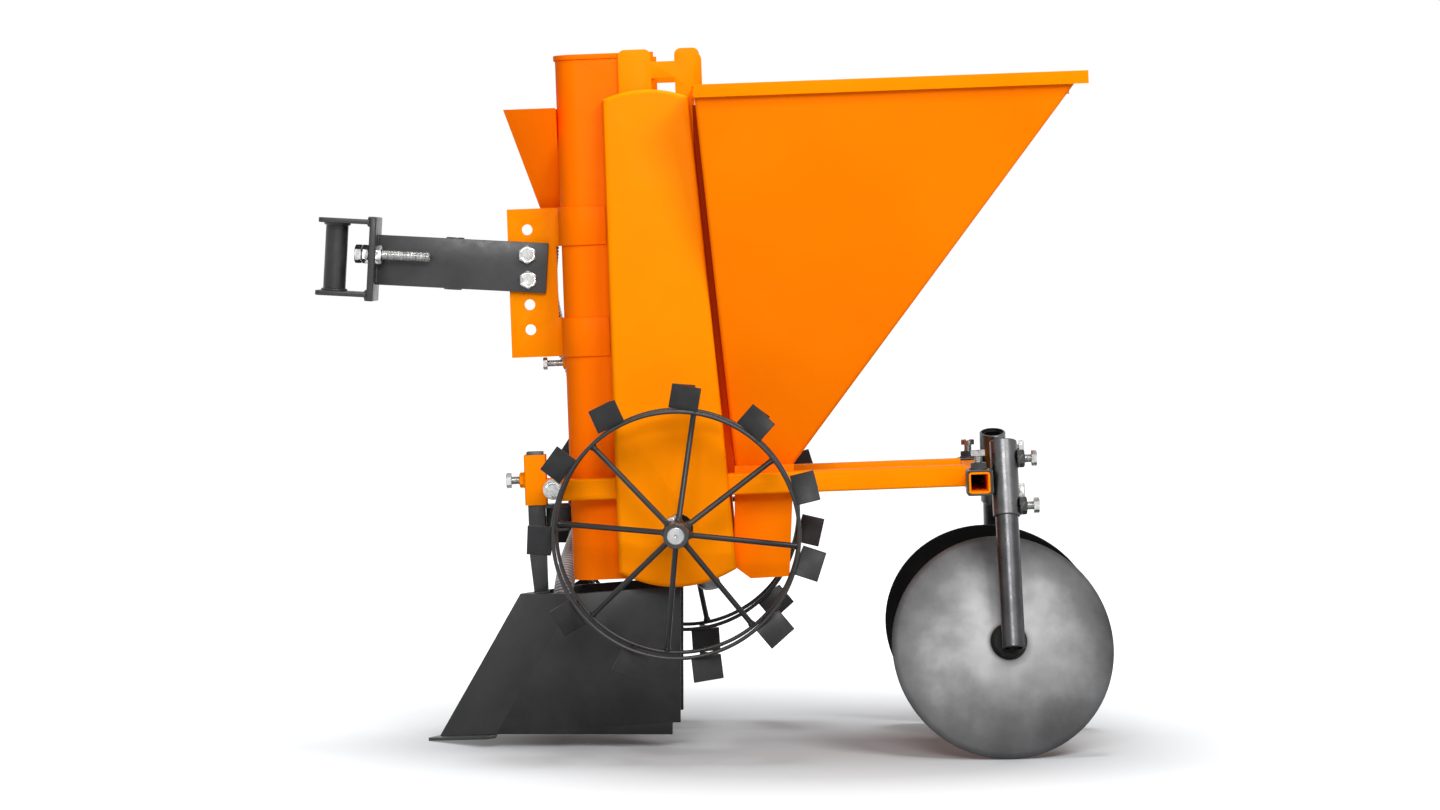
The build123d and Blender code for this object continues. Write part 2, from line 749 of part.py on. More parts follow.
# Wheels: both are the same part, pushed on the axle and held by a set bolt each.
set_bolt_angle = 114.0
set_bolts = []
for side, sign in (("left", -1), ("right", 1)):
    spoke_phase, lug_phase = wheel_phases[side]
    middle = sign * wheel_y
    hub_ends = (middle - hub_length / 2, middle + hub_length / 2)
    hub = pipe((0, hub_ends[0], 0), (0, hub_ends[1], 0), hub_diameter, axle_diameter + 2 * seat_gap)
    bolt_y = middle - sign * (hub_length / 2 - bolt_m8)
    bolt_foot = around(set_bolt_angle, axle_diameter / 2 + 2 * seat_gap, bolt_y)
    bolt_seat = around(set_bolt_angle, hub_diameter / 2 + seat_gap, bolt_y)
    set_bolts.append(bolt(bolt_seat, bolt_foot - bolt_seat, bolt_m8, (bolt_foot - bolt_seat).length))
    nodes[f"{side}_wheel_hub"] = hub - rod(bolt_foot, bolt_seat + (bolt_seat - bolt_foot), bolt_m8 + 2 * seat_gap)
    hoop = Rot(90, 0, 0) * Torus(hoop_radius, hoop_bar / 2)
    nodes[f"{side}_wheel_hoops"] = Compound([
        Pos(0, middle - hoop_gap / 2, 0) * hoop,
        Pos(0, middle + hoop_gap / 2, 0) * hoop,
    ])
    nodes[f"{side}_wheel_spokes"] = Compound([
        rod(
            around(spoke_phase + 360 / spoke_count * number, hub_diameter / 2 + seat_gap, middle + hoop_gap / 2),
            around(
                spoke_phase + 360 / spoke_count * number,
                hoop_radius - hoop_bar / 2 - seat_gap, middle + hoop_gap / 2,
            ),
            spoke_bar,
        )
        for number in range(spoke_count)
    ])
    nodes[f"{side}_wheel_lugs"] = Compound([
        lug(lug_phase + 360 / lug_count * number, middle - hoop_gap / 2 - hoop_bar / 6)
        for number in range(lug_count)
    ])
nodes["hub_set_bolts"] = Compound(set_bolts)

# Hitch straps: two bands round the chute. The hitch plate stands on their fronts and has a row of bolt holes.
strap_out = seat_gap + strap_sheet
strap_front = chute_front - strap_out
nodes["hitch_straps"] = Compound([
    wrap(
        strap_front, strap_back, body_half + strap_out, chute_corner + strap_out,
        middle - strap_height / 2, middle + strap_height / 2, strap_sheet,
    )
    for middle in (lower_strap_z, upper_strap_z)
])
plate_low = lower_strap_z - strap_height / 2
plate_high = upper_strap_z + strap_height / 2
plate_half = hitch_plate_sheet / 2
hitch_plate = plate_y([
    (hitch_plate_front, plate_low),
    (strap_front, plate_low),
    (strap_front, plate_low + strap_height),
    (strap_front - window_setback, plate_low + strap_height),
    (strap_front - window_setback, plate_high - strap_height),
    (strap_front, plate_high - strap_height),
    (strap_front, plate_high),
    (hitch_plate_front, plate_high),
], -plate_half, plate_half)
hole_heights = [
    hitch_hole_mid_z + hitch_hole_pitch * (number - (hitch_hole_count - 1) / 2) for number in range(hitch_hole_count)
]
for z in hole_heights:
    hitch_plate -= rod((hitch_hole_x, -plate_half, z), (hitch_hole_x, plate_half, z), hitch_hole)
nodes["hitch_plate"] = hitch_plate

# Drawbar: a flat bar on the plate's left face, held by two bolts, with a short sleeve on its right face.
bolted_heights = hole_heights[2:4]
drawbar_frame = Pos(hitch_hole_x, 0, sum(bolted_heights) / 2) * Rot(0, drawbar_rise, 0)
drawbar_left = -plate_half - drawbar_thickness
drawbar = drawbar_frame * block(
    head_back, drawbar_rear, drawbar_left, -plate_half, -drawbar_height / 2, drawbar_height / 2,
)
bolt_reach = drawbar_thickness + hitch_plate_sheet + bolt_m12
nut_height = head_ratio * bolt_m12
drawbar_bolts = []
for z in bolted_heights:
    drawbar -= rod((hitch_hole_x, drawbar_left, z), (hitch_hole_x, -plate_half, z), bolt_m12 + 2 * seat_gap)
    drawbar_bolts.append(bolt((hitch_hole_x, drawbar_left, z), (0, 1, 0), bolt_m12, bolt_reach))
    drawbar_bolts.append(
        hex_prism((hitch_hole_x, plate_half, z), (0, 1, 0), bolt_m12, nut_height, bolt_m12 + 2 * seat_gap)
    )
nodes["drawbar"] = drawbar
nodes["drawbar_bolts"] = Compound(drawbar_bolts)
sleeve_half = drawbar_height / 2 + drawbar_sleeve_proud
sleeve_y = -plate_half + drawbar_sleeve_outer / 2 + seat_gap
nodes["drawbar_sleeve"] = drawbar_frame * pipe(
    (drawbar_sleeve_x, sleeve_y, -sleeve_half), (drawbar_sleeve_x, sleeve_y, sleeve_half),
    drawbar_sleeve_outer, drawbar_sleeve_bore,
)

# Hitch head: a plate with two shelves and, between them, the sleeve for the hitch pin.
head_face = head_back - head_plate
hitch_head = block(head_front, head_back, -head_half, head_half, head_low, head_high)
hitch_head -= block(head_front, head_face, -head_half, head_half, head_low + head_shelf, head_high - head_shelf)
hitch_head -= rod((hitch_sleeve_x, 0, head_low), (hitch_sleeve_x, 0, head_high), hitch_sleeve_bore)
nodes["hitch_sleeve"] = drawbar_frame * pipe(
    (hitch_sleeve_x, 0, head_low + head_shelf), (hitch_sleeve_x, 0, head_high - head_shelf),
    hitch_sleeve_outer, hitch_sleeve_bore,
)

# Stop screws: each runs in a nut welded behind the head's plate and is held by a lock nut in front of it.
screw_seat = head_face - nut_height - 10 * seat_gap
stop_nuts = []
for side, y in (("left", -stop_screw_y), ("right", stop_screw_y)):
    hitch_head -= rod((head_face, y, stop_screw_z), (head_back, y, stop_screw_z), bolt_m12 + 2 * clamp_fit)
    stop_nuts += [
        hex_prism((face, y, stop_screw_z), (way, 0, 0), bolt_m12, nut_height, bolt_m12 + 2 * slip)
        for face, way in ((head_face, -1), (head_back, 1))
    ]
    nodes[f"{side}_stop_screw"] = drawbar_frame * bolt(
        (screw_seat, y, stop_screw_z), (1, 0, 0), bolt_m12, stop_screw_length,
    )
nodes["hitch_head"] = drawbar_frame * hitch_head
nodes["stop_screw_nuts"] = Compound([drawbar_frame * nut for nut in stop_nuts])

# Opener socket: square tube on the front crossmember, with a set bolt at its front that clamps the shank.
socket_size = shank_size + 2 * socket_wall
shank_x = crossmember_x - crossmember_size / 2 - socket_size / 2
socket_front = shank_x - socket_size / 2
set_bolt_z = (socket_bottom + socket_top) / 2
set_bolt_hole = rod(
    (socket_front, 0, set_bolt_z), (socket_front + socket_wall, 0, set_bolt_z), bolt_m10 + 2 * seat_gap,
)
socket = square_bar("Z", (shank_x, 0), socket_bottom, socket_top, socket_size)
socket -= square_bar("Z", (shank_x, 0), socket_bottom, socket_top, shank_size + 2 * clamp_fit)
nodes["opener_socket"] = socket - set_bolt_hole


def set_bolt(foot, outwards, diameter, length):
    """Set bolt with its tip at foot and its head out along the given way."""
    way = Vector(*outwards).normalized()
    return bolt(Vector(*foot) + way * length, -way, diameter, length)


# Set bolts with their bosses: one in the opener socket, one under the hitch plate in the front of the chute.
socket_foot = (shank_x - shank_size / 2 - seat_gap, 0, set_bolt_z)
socket_reach = socket_foot[0] - socket_front + boss_height + set_bolt_proud
chute_bolt_z = plate_low - boss_ratio * bolt_m8 / 2 - 10 * seat_gap
nodes["set_bolts"] = Compound([
    boss((socket_front, 0, set_bolt_z), (-1, 0, 0), bolt_m10, boss_height),
    set_bolt(socket_foot, (-1, 0, 0), bolt_m10, socket_reach),
    boss((chute_front, 0, chute_bolt_z), (-1, 0, 0), bolt_m8, boss_height),
    set_bolt((chute_front - seat_gap, 0, chute_bolt_z), (-1, 0, 0), bolt_m8, boss_height + 2 * set_bolt_proud),
])


def nose_x(z):
    """X of the opener's nose at this height; the opener is drawn level, from the axle's centre."""
    return opener_nose_x + opener_slant * (z - opener_top_front)


def top_edge(x):
    """Height of the opener's top edge, which rises towards the back."""
    rise = (opener_top_back - opener_top_front) / (opener_back - opener_nose_x)
    return opener_top_front + rise * (x - opener_nose_x)


def share_top(x):
    """Height of the share's upper face, which falls from the side plates' lower edge to the tip."""
    tip_z = share_thickness - axle_height
    return tip_z + (opener_low - tip_z) * (x - share_tip_x) / (share_back - share_tip_x)


# Opener side plates: each is folded along a slanting line, and the two meet in the nose.
opener_low = opener_clearance - axle_height
share_tip_x = nose_x(opener_low) - share_lead
share_back = nose_x(opener_low) + opener_nose_length
far_x = 1.5 * share_tip_x
fold = math.atan2(opener_half, opener_nose_length)
inner_nose = opener_sheet / math.sin(fold)
inner_side = opener_half - opener_sheet
inner_fold = inner_nose + inner_side * opener_nose_length / opener_half
start_z = opener_top_back + opener_half
start_x = nose_x(start_z)
plan = [
    (start_x, 0),
    (start_x + opener_nose_length, opener_half),
    (start_x - far_x, opener_half),
    (start_x - far_x, inner_side),
    (start_x + inner_fold, inner_side),
    (start_x + inner_nose, 0),
]
section = make_face(Polyline(*[(x, y, start_z) for x, y in plan], close=True))
drop = Vector(-opener_slant, 0, -1)
folded = extrude(section, amount=(start_z + 1.5 * axle_height) * drop.length, dir=drop)
side_outline = [
    (far_x, top_edge(far_x)),
    (opener_back, opener_top_back),
    (opener_back, opener_low + opener_notch_height),
    (opener_back - opener_notch, opener_low + opener_notch_height),
    (opener_back - opener_notch, opener_low),
    (share_back, opener_low),
    (far_x, share_top(far_x)),
]
side_plate = folded & plate_y(side_outline, 0, 2 * opener_half)
for side, piece in right_and_left(side_plate).items():
    nodes[f"opener_{side}_plate"] = level * piece

# Share: a pointed plate under the nose.
share_half = opener_half + share_overhang
share_shoulder = share_back - 3 * share_thickness
share = plate_y([
    (share_tip_x, -axle_height),
    (share_tip_x, share_top(share_tip_x)),
    (share_back, share_top(share_back)),
    (share_back, share_top(share_back) - share_thickness),
], -share_half, share_half)
share &= plate_z([
    (share_tip_x, 0),
    (share_shoulder, -share_half),
    (share_back, -share_half),
    (share_back, share_half),
    (share_shoulder, share_half),
], -2 * axle_height, 0)
nodes["opener_share"] = level * share

# Opener cap: a plate welded into the nose, flush with the side plates' upper edges, which carries the shank.
nose_space = make_face(Polyline(
    (start_x + inner_nose, 0, start_z), (start_x + inner_fold, inner_side, start_z),
    (start_x + inner_fold, -inner_side, start_z), close=True,
))
cap = extrude(nose_space, amount=(start_z + 1.5 * axle_height) * drop.length, dir=drop)
cap &= plate_y([
    (cap_front, top_edge(cap_front) - opener_sheet),
    (cap_back, top_edge(cap_back) - opener_sheet),
    (cap_back, top_edge(cap_back)),
    (cap_front, top_edge(cap_front)),
], -opener_half, opener_half)
nodes["opener_cap"] = level * cap

# Shank: square bar that stands on the cap and slides in the socket, with a channel as stay behind it.
under_cap = plate_y([
    (far_x, top_edge(far_x)),
    (opener_back, top_edge(opener_back)),
    (opener_back, -axle_height),
    (far_x, -axle_height),
], -opener_half, opener_half)
shank = square_bar("Z", (shank_x, 0), -axle_height / 2, shank_top, shank_size)
nodes["opener_shank"] = shank - level * under_cap
stay_front = shank_x + shank_size / 2
stay_back = strap_front
stay_low = socket_bottom - stay_height
stay = block(stay_front, stay_back, -stay_half, stay_half, stay_low, socket_bottom)
stay -= block(
    stay_front, stay_back, -stay_half, stay_half - stay_wall, stay_low + stay_wall, socket_bottom - stay_wall,
)
nodes["opener_stay"] = stay

# Disc clamp, right-hand one: a sleeve on the crossbar with a leaning tube behind it, and three set bolts.
clamp_inner = crossbar_size + 2 * clamp_fit
clamp_outer = clamp_inner + 2 * clamp_wall
weld_depth = 0.5
tube_x = crossbar_x + clamp_outer / 2 + clamp_tube / 2 - weld_depth
lean = math.radians(stand_lean)
toe = math.radians(disc_toe)
down = Vector(0, math.sin(lean), -math.cos(lean))
pivot = Vector(tube_x, clamp_y, crossbar_z)
clamp_low = clamp_y - clamp_width / 2
clamp_high = clamp_y + clamp_width / 2
clamp_top = crossbar_z + clamp_outer / 2
clamp_bolts = []
clamp = square_bar("Y", (crossbar_x, crossbar_z), clamp_low, clamp_high, clamp_outer)
clamp += rod(pivot - down * clamp_tube_above, pivot + down * clamp_tube_below, clamp_tube)
clamp += rod((crossbar_x, clamp_y, clamp_top - weld_depth), (crossbar_x, clamp_y, clamp_top + boss_height),
             boss_ratio * bolt_m10)
clamp_feet = [
    (Vector(crossbar_x, clamp_y, crossbar_z + crossbar_size / 2 + seat_gap), Vector(0, 0, 1), clamp_outer / 2),
]
for along in (-clamp_bolt_above, clamp_bolt_below):
    middle = pivot + down * along
    clamp += rod(middle + Vector(stand_pipe / 2 + weld_depth, 0, 0), middle + Vector(clamp_tube / 2 + boss_height, 0, 0),
                 boss_ratio * bolt_m10)
    clamp_feet.append((middle + Vector(stand_pipe / 2 + 2 * seat_gap, 0, 0), Vector(1, 0, 0), clamp_tube / 2))
for foot, way, outside_at in clamp_feet:
    wall = outside_at - (crossbar_size / 2 if way.Z else stand_pipe / 2)
    reach = wall + boss_height + set_bolt_proud
    clamp -= rod(foot - way * weld_depth, foot + way * reach, bolt_m10 + 2 * seat_gap)
    clamp_bolts.append(set_bolt(foot, way, bolt_m10, reach))
clamp -= square_bar("Y", (crossbar_x, crossbar_z), clamp_low, clamp_high, clamp_inner)
clamp -= rod(pivot - down * clamp_tube_above, pivot + down * clamp_tube_below, stand_pipe + 2 * slip)

# Disc stand: a leaning pipe with a stub axle welded in near its foot, square to it but for the toe. The disc's
# rim stands on the floor.
outward = Vector(math.sin(toe), math.cos(toe) * math.cos(lean), math.cos(toe) * math.sin(lean))
rim_depth = disc_sphere - math.sqrt((disc_sphere - disc_sheet) ** 2 - disc_radius ** 2)
pole_distance = stand_pipe / 2 + disc_offset
tilt = math.radians(stance_tilt)
outward_rise = outward.X * math.sin(tilt) + outward.Z * math.cos(tilt)
rim_height = disc_radius * math.sqrt(1 - outward_rise ** 2)
pivot_height = pivot.X * math.sin(tilt) + pivot.Z * math.cos(tilt) + axle_height
drop_to_stub = pivot_height - outward_rise * (pole_distance + rim_depth) - rim_height
axle_along = drop_to_stub / (math.cos(lean) * math.cos(tilt))
stub_middle = pivot + down * axle_along
pole = stub_middle - outward * pole_distance
hub_start = stand_pipe / 2 + disc_hub_gap
hub_end = hub_start + disc_hub_length
stub_end = stub_middle - outward * (hub_end + 3 * seat_gap)
stand_top = pivot - down * (clamp_tube_above - stand_top_gap)
stand_foot = pivot + down * (axle_along + stand_below_axle)
stand = pipe(stand_top, stand_foot, stand_pipe, stand_bore)
stand += rod(stub_middle, stub_end, disc_axle)
stand += hex_prism(stub_end, -outward, disc_axle, head_ratio * disc_axle)

# Covering disc: a dish with its hollow side inwards, turning on a hub.
hub_out = pole_distance - hub_start
dish = Pos(0, 0, -disc_sphere) * (Sphere(disc_sphere) - Sphere(disc_sphere - disc_sheet))
dish &= Pos(0, 0, -disc_radius) * Cylinder(disc_radius, 2 * disc_radius)
dish += rod((0, 0, hub_out - disc_hub_length), (0, 0, hub_out), 2 * disc_hub_radius)
dish -= rod((0, 0, hub_out - disc_hub_length), (0, 0, hub_out), disc_axle + 2 * slip)
disc = Plane(origin=pole, z_dir=outward).location * dish

for name, shapes in (("disc_clamp", [clamp] + clamp_bolts), ("disc_stand", [stand]), ("disc", [disc])):
    pairs = [right_and_left(shape) for shape in shapes]
    for side in ("left", "right"):
        pieces = [pair[side] for pair in pairs]
        nodes[f"{side}_{name}"] = Compound(pieces) if len(pieces) > 1 else pieces[0]

# Fertiliser hopper: a funnel of sheet on the front of the chute, with an outlet box and a spigot on its right.
outlet_low = feed_bottom - outlet_height


def feed_section(z, front, low, high, inset):
    """Level rectangle of the fertiliser hopper, back against the chute."""
    return make_face(Polyline(
        (front + inset, low + inset, z), (chute_front - inset, low + inset, z),
        (chute_front - inset, high - inset, z), (front + inset, high - inset, z), close=True,
    ))


def funnel(inset):
    """Solid funnel, drawn in by a sheet's thickness."""
    return loft([
        feed_section(
            feed_bottom, feed_front_bottom, feed_outlet_y - feed_outlet_half, feed_outlet_y + feed_outlet_half, inset,
        ),
        feed_section(feed_top, feed_front_top, -feed_half_top, feed_half_top, inset),
    ], ruled=True)


spigot_outer = hose_bore - 2 * seat_gap
spigot_bore = spigot_outer - 2 * spigot_wall
outlet_back = strap_front - seat_gap
outlet_front = 2 * feed_outlet_x - outlet_back
gate_z = feed_bottom - outlet_height / 2
gate_half = gate_width / 2
feed = funnel(0.0) - funnel(sheet)
feed += block(
    outlet_front, outlet_back, feed_outlet_y - outlet_half, feed_outlet_y + outlet_half, outlet_low, feed_bottom,
)
feed += rod((feed_outlet_x, feed_outlet_y, outlet_low - spigot_length), (feed_outlet_x, feed_outlet_y, feed_bottom),
            spigot_outer)
feed -= rod((feed_outlet_x, feed_outlet_y, outlet_low - spigot_length), (feed_outlet_x, feed_outlet_y, feed_bottom),
            spigot_bore)
feed -= block(
    feed_outlet_x - gate_half - clamp_fit, feed_outlet_x + gate_half + clamp_fit, feed_outlet_y - outlet_half,
    feed_outlet_y + outlet_half, gate_z - gate_sheet / 2 - clamp_fit, gate_z + gate_sheet / 2 + clamp_fit,
)
nodes["fertiliser_hopper"] = feed

# Gate: a slide through the outlet box, turned down at its outer end as a grip.
gate_start = feed_outlet_y - outlet_half + sheet
gate_end = gate_start + gate_length
gate = block(
    feed_outlet_x - gate_half, feed_outlet_x + gate_half, gate_start, gate_end,
    gate_z - gate_sheet / 2, gate_z + gate_sheet / 2,
)
gate += block(
    feed_outlet_x - gate_half, feed_outlet_x + gate_half, gate_end - gate_sheet, gate_end,
    gate_z - gate_width, gate_z,
)
nodes["fertiliser_gate"] = gate

# Ribbed hose from the spigot down into the opener, along straight runs joined by wide arcs.
runs = [Vector(*end) - Vector(*start) for start, end in zip(hose_route, hose_route[1:])]
turns = [math.radians(before.get_angle(after)) for before, after in zip(runs, runs[1:])]
radii = [
    0.45 * min(before.length, after.length) / math.tan(turn / 2)
    for before, after, turn in zip(runs, runs[1:], turns)
]
hose_path = FilletPolyline(*hose_route, radius=radii)
print("hose length", round(hose_path.length, 1), "radii", [round(radius) for radius in radii])


def hose_ring(along, diameter):
    """Circle across the hose at this length along it."""
    share = along / hose_path.length
    return Plane(origin=hose_path @ share, x_dir=(1, 0, 0), z_dir=hose_path % share) * Circle(diameter / 2)


rib_count = round(hose_path.length / hose_rib_pitch)
rib_pitch = hose_path.length / rib_count
rings = []
for rib in range(rib_count):
    for part, diameter in ((0.0, hose_valley), (0.3, hose_valley), (0.5, hose_outer), (0.8, hose_outer)):
        rings.append(hose_ring((rib + part) * rib_pitch, diameter))
rings.append(hose_ring(hose_path.length, hose_valley))
hose_inside = sweep(hose_ring(0, hose_bore), path=hose_path)
nodes["fertiliser_hose"] = loft(rings, ruled=True) - hose_inside

# The machine on the floor, with the origin under the middle of its length and width.
standing = {name: stance * shape for name, shape in nodes.items()}
whole = Compound(list(standing.values())).bounding_box()
centred = Pos(-(whole.min.X + whole.max.X) / 2, 0, 0)
os.makedirs("parts", exist_ok=True)
for name, shape in standing.items():
    export_step(centred * shape, f"parts/{name}.step")
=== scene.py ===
import bmesh
import bpy
import json
import math
from mathutils import Matrix, Vector


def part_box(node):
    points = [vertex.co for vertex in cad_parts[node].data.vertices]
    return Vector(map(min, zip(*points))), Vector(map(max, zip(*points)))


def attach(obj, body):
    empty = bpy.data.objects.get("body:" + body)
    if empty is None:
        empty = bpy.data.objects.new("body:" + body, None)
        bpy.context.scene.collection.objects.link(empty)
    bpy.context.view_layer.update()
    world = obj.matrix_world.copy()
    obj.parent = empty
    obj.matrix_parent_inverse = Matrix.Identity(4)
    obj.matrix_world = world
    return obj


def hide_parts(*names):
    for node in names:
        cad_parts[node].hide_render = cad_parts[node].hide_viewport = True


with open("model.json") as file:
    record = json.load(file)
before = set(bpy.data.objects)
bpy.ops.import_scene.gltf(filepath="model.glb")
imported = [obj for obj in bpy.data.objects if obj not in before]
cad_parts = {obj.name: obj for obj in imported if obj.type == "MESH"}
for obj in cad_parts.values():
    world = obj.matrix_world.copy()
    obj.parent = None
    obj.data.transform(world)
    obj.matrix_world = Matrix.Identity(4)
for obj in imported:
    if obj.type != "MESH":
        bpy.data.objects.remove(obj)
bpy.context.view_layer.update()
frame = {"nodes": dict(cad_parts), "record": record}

# The setting: the machine stands side-on on a pale studio floor, seen from its left through a long lens,
# under one soft light overhead, a second from the right and a wide third above the camera.
scene = bpy.context.scene
scene.view_settings.view_transform = "Standard"


def linked(name, data):
    """A new object with this data, linked into the scene."""
    made = bpy.data.objects.new(name, data)
    scene.collection.objects.link(made)
    return made


camera = linked("studio_camera", bpy.data.cameras.new("studio_camera"))
camera.location = (0.0874, -4.74, 0.5886)
camera.rotation_euler = (math.pi / 2, 0, 0)
camera.data.sensor_width = 36
camera.data.lens = 98.75
camera.data.shift_x = -0.045
camera.data.shift_y = -0.1073
scene.camera = camera


class Tone:
    """A shader socket on which sums are written as plain expressions."""

    def __init__(self, socket):
        self.socket = socket

    def node(self, kind, settings=(), sockets=(), output=0):
        """Add a node beside this socket: its settings first, then the values or links of its sockets."""
        tree = self.socket.node.id_data
        made = tree.nodes.new(kind)
        for name, value in dict(settings).items():
            if name == "stops":
                stops = made.color_ramp.elements
                while len(stops) < len(value):
                    stops.new(1.0)
                for stop, (place, colour) in zip(stops, value):
                    stop.position = place
                    stop.color = (*colour, 1.0)
            else:
                setattr(made, name, value)
        for name, value in dict(sockets).items():
            if isinstance(value, Tone):
                tree.links.new(value.socket, made.inputs[name])
            else:
                made.inputs[name].default_value = value
        return Tone(made.outputs[output])

    def sum(self, operation, first, second):
        """One operation on two values or tones."""
        return self.node("ShaderNodeMath", {"operation": operation}, {0: first, 1: second})

    def __add__(self, other):
        return self.sum("ADD", self, other)

    def __sub__(self, other):
        return self.sum("SUBTRACT", self, other)

    def __rsub__(self, other):
        return self.sum("SUBTRACT", other, self)

    def __mul__(self, other):
        return self.sum("MULTIPLY", self, other)

    def noise(self, scale, detail=3.0, roughness=0.5):
        """Cloudy pattern, so many cells to the metre."""
        sockets = {"Vector": self, "Scale": scale, "Detail": detail, "Roughness": roughness}
        return self.node("ShaderNodeTexNoise", {}, sockets)

    def ramp(self, *stops):
        """Colours along this value."""
        return self.node("ShaderNodeValToRGB", {"stops": stops}, {"Fac": self})

    def span(self, low, high, first=0.0, last=1.0):
        """This value stretched from one range to another, and held inside it."""
        return self.node("ShaderNodeMapRange", {"clamp": True}, {
            "Value": self, "From Min": low, "From Max": high, "To Min": first, "To Max": last,
        })

    def over(self, colour, ground):
        """A colour laid over a ground, with this value as its cover."""
        return self.node("ShaderNodeMix", {"data_type": "RGBA"}, {0: self, 6: ground, 7: colour}, 2)


def mixed(name, **fixed):
    """A new finish: its material, its shader and the object's own coordinates; fixed inputs are set on the shader."""
    material = bpy.data.materials.new(name)
    material.use_nodes = True
    shader = material.node_tree.nodes["Principled BSDF"]
    for socket, value in fixed.items():
        shader.inputs[socket.replace("_", " ")].default_value = value
    place = Tone(material.node_tree.nodes.new("ShaderNodeTexCoord").outputs["Object"])
    return material, shader, place


def feed(shader, **changing):
    """Link what changes over the surface to the shader's sockets."""
    for socket, tone in changing.items():
        shader.id_data.links.new(tone.socket, shader.inputs[socket.replace("_", " ")])


def relief(height, depth, strength=1.0):
    """Bump from a height pattern; depth in metres."""
    return height.node("ShaderNodeBump", {}, {"Height": height, "Distance": depth, "Strength": strength})


def viewed(tone):
    """One for rays from the camera, from glossy metal and through glass, and nought for those that carry light."""
    rays = tone.node("ShaderNodeLightPath", {}, {}, "Is Camera Ray")
    outputs = rays.socket.node.outputs
    return rays + Tone(outputs["Is Glossy Ray"]) + Tone(outputs["Is Transmission Ray"])


studio_paper, paper_shader, paper_place = mixed(
    "studio_paper", Roughness=0.9, Specular_IOR_Level=0.0, Emission_Strength=1.0,
)
paper_shade = paper_place.noise(3.0, 2.0).ramp((0.3, (0.5, 0.52, 0.535)), (0.7, (0.52, 0.54, 0.555)))
# The paper glows white for camera and glossy rays further out, but the glow fades almost away round the machine's
# middle, so that the darker paper there paints in a soft shadow under it.
shadow_middle = (0.12, -0.03, 0.0)
paper_reach = paper_place.node(
    "ShaderNodeVectorMath", {"operation": "DISTANCE"}, {0: paper_place, 1: shadow_middle}, "Value",
)
paper_glow_and_painted_shadow = paper_reach.span(0.3, 1.0, 0.04, 1.0) * viewed(paper_place)
feed(paper_shader, Base_Color=paper_shade, Emission_Color=paper_glow_and_painted_shadow)
bpy.ops.object.select_all(action="DESELECT")
bpy.ops.mesh.primitive_plane_add(size=60)
floor = bpy.context.object
floor.name = "studio_floor"
floor.data.materials.append(studio_paper)

world = bpy.data.worlds.new("studio_air")
scene.world = world
world.use_nodes = True
air = world.node_tree.nodes
air_level = viewed(Tone(air["Background"].outputs[0])).span(0.0, 1.0, 0.22, 1.0)
world.node_tree.links.new(air_level.socket, air["Background"].inputs["Strength"])
air["Background"].inputs["Color"].default_value = (1, 1, 1, 1)


def lamp(name, place, aim, width, height, power):
    """Soft box at a place, turned to a point."""
    light = linked(name, bpy.data.lights.new(name, "AREA"))
    light.data.shape = "RECTANGLE"
    light.data.size = width
    light.data.size_y = height
    light.data.energy = power
    light.location = place
    light.rotation_euler = (Vector(aim) - Vector(place)).to_track_quat("-Z", "Y").to_euler()


lamp("overhead_light", (0.35, 0.2, 3.3), (0.1, 0, 0), 1.0, 0.9, 68)
lamp("right_light", (2.1, -2.9, 3.4), (0, 0, 0.4), 1.8, 1.8, 112)
lamp("camera_light", (-0.1, -4.2, 2.3), (0, 0, 0.4), 1.8, 1.2, 102)

# Drop chute: one 2 mm sheet folded round the front with wide corners, open at the back, with a band welded
# round its mouth. Like the whole body it is powder coated in orange; chute and band are drawn a deeper orange
# as painted shade. Sizes are in millimetres from the axle.
tilt = math.radians(2.1)
axle_middle = (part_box("wheel_axle")[0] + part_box("wheel_axle")[1]) / 2
stance = Matrix.Translation(axle_middle) @ Matrix.Rotation(-tilt, 4, "Y") @ Matrix.Scale(0.001, 4)


def coat(name, green, red=1.0):
    """Orange powder coat, a little cloudy and grained; more green makes it yellower, less red darker."""
    paint, shader, place = mixed(name, Specular_IOR_Level=0.018)
    hue = place.noise(7.0, 4.0).ramp(
        (0.32, (0.97 * red, 0.93 * green, 0.0)), (0.55, (0.99 * red, green, 0.0)), (0.75, (red, 1.07 * green, 0.001)),
    )
    feed(
        shader, Base_Color=hue, Roughness=place.noise(45.0, 5.0).span(0.3, 0.7, 0.34, 0.46),
        Normal=relief(place.noise(620.0, 2.0), 0.0001, 0.35),
    )
    return paint


# One orange coat covers the whole body, drawn here in three copies for light and shade: the yellowest paints in light
# on the covers, rails, rim, brackets and plate, the hopper's is a little darker as painted shade, and the deepest
# paints in shade on the chute, its band and straps and the fertiliser funnel.
finishes = {"orange_paint": coat("orange_paint", 0.26)}
painted_shade_orange, hopper_painted_shade_orange = coat("painted_shade_orange", 0.168), coat("hopper_painted_shade_orange", 0.2)


def drawn(points, closed=True):
    """An outline drawn point by point from one vertex, and filled if closed; left in edit mode, all selected."""
    bpy.ops.object.select_all(action="DESELECT")
    bpy.ops.mesh.primitive_plane_add(size=1)
    bpy.ops.object.mode_set(mode="EDIT")
    bpy.ops.mesh.select_mode(type="VERT")
    bpy.ops.mesh.select_all(action="SELECT")
    bpy.ops.mesh.merge(type="CENTER")
    bpy.ops.transform.translate(value=Vector(points[0]))
    for before, after in zip(points, points[1:]):
        bpy.ops.mesh.extrude_region_move(TRANSFORM_OT_translate={"value": Vector(after) - Vector(before)})
    bpy.ops.mesh.select_all(action="SELECT")
    if closed:
        bpy.ops.mesh.edge_face_add()
    return bpy.context.object


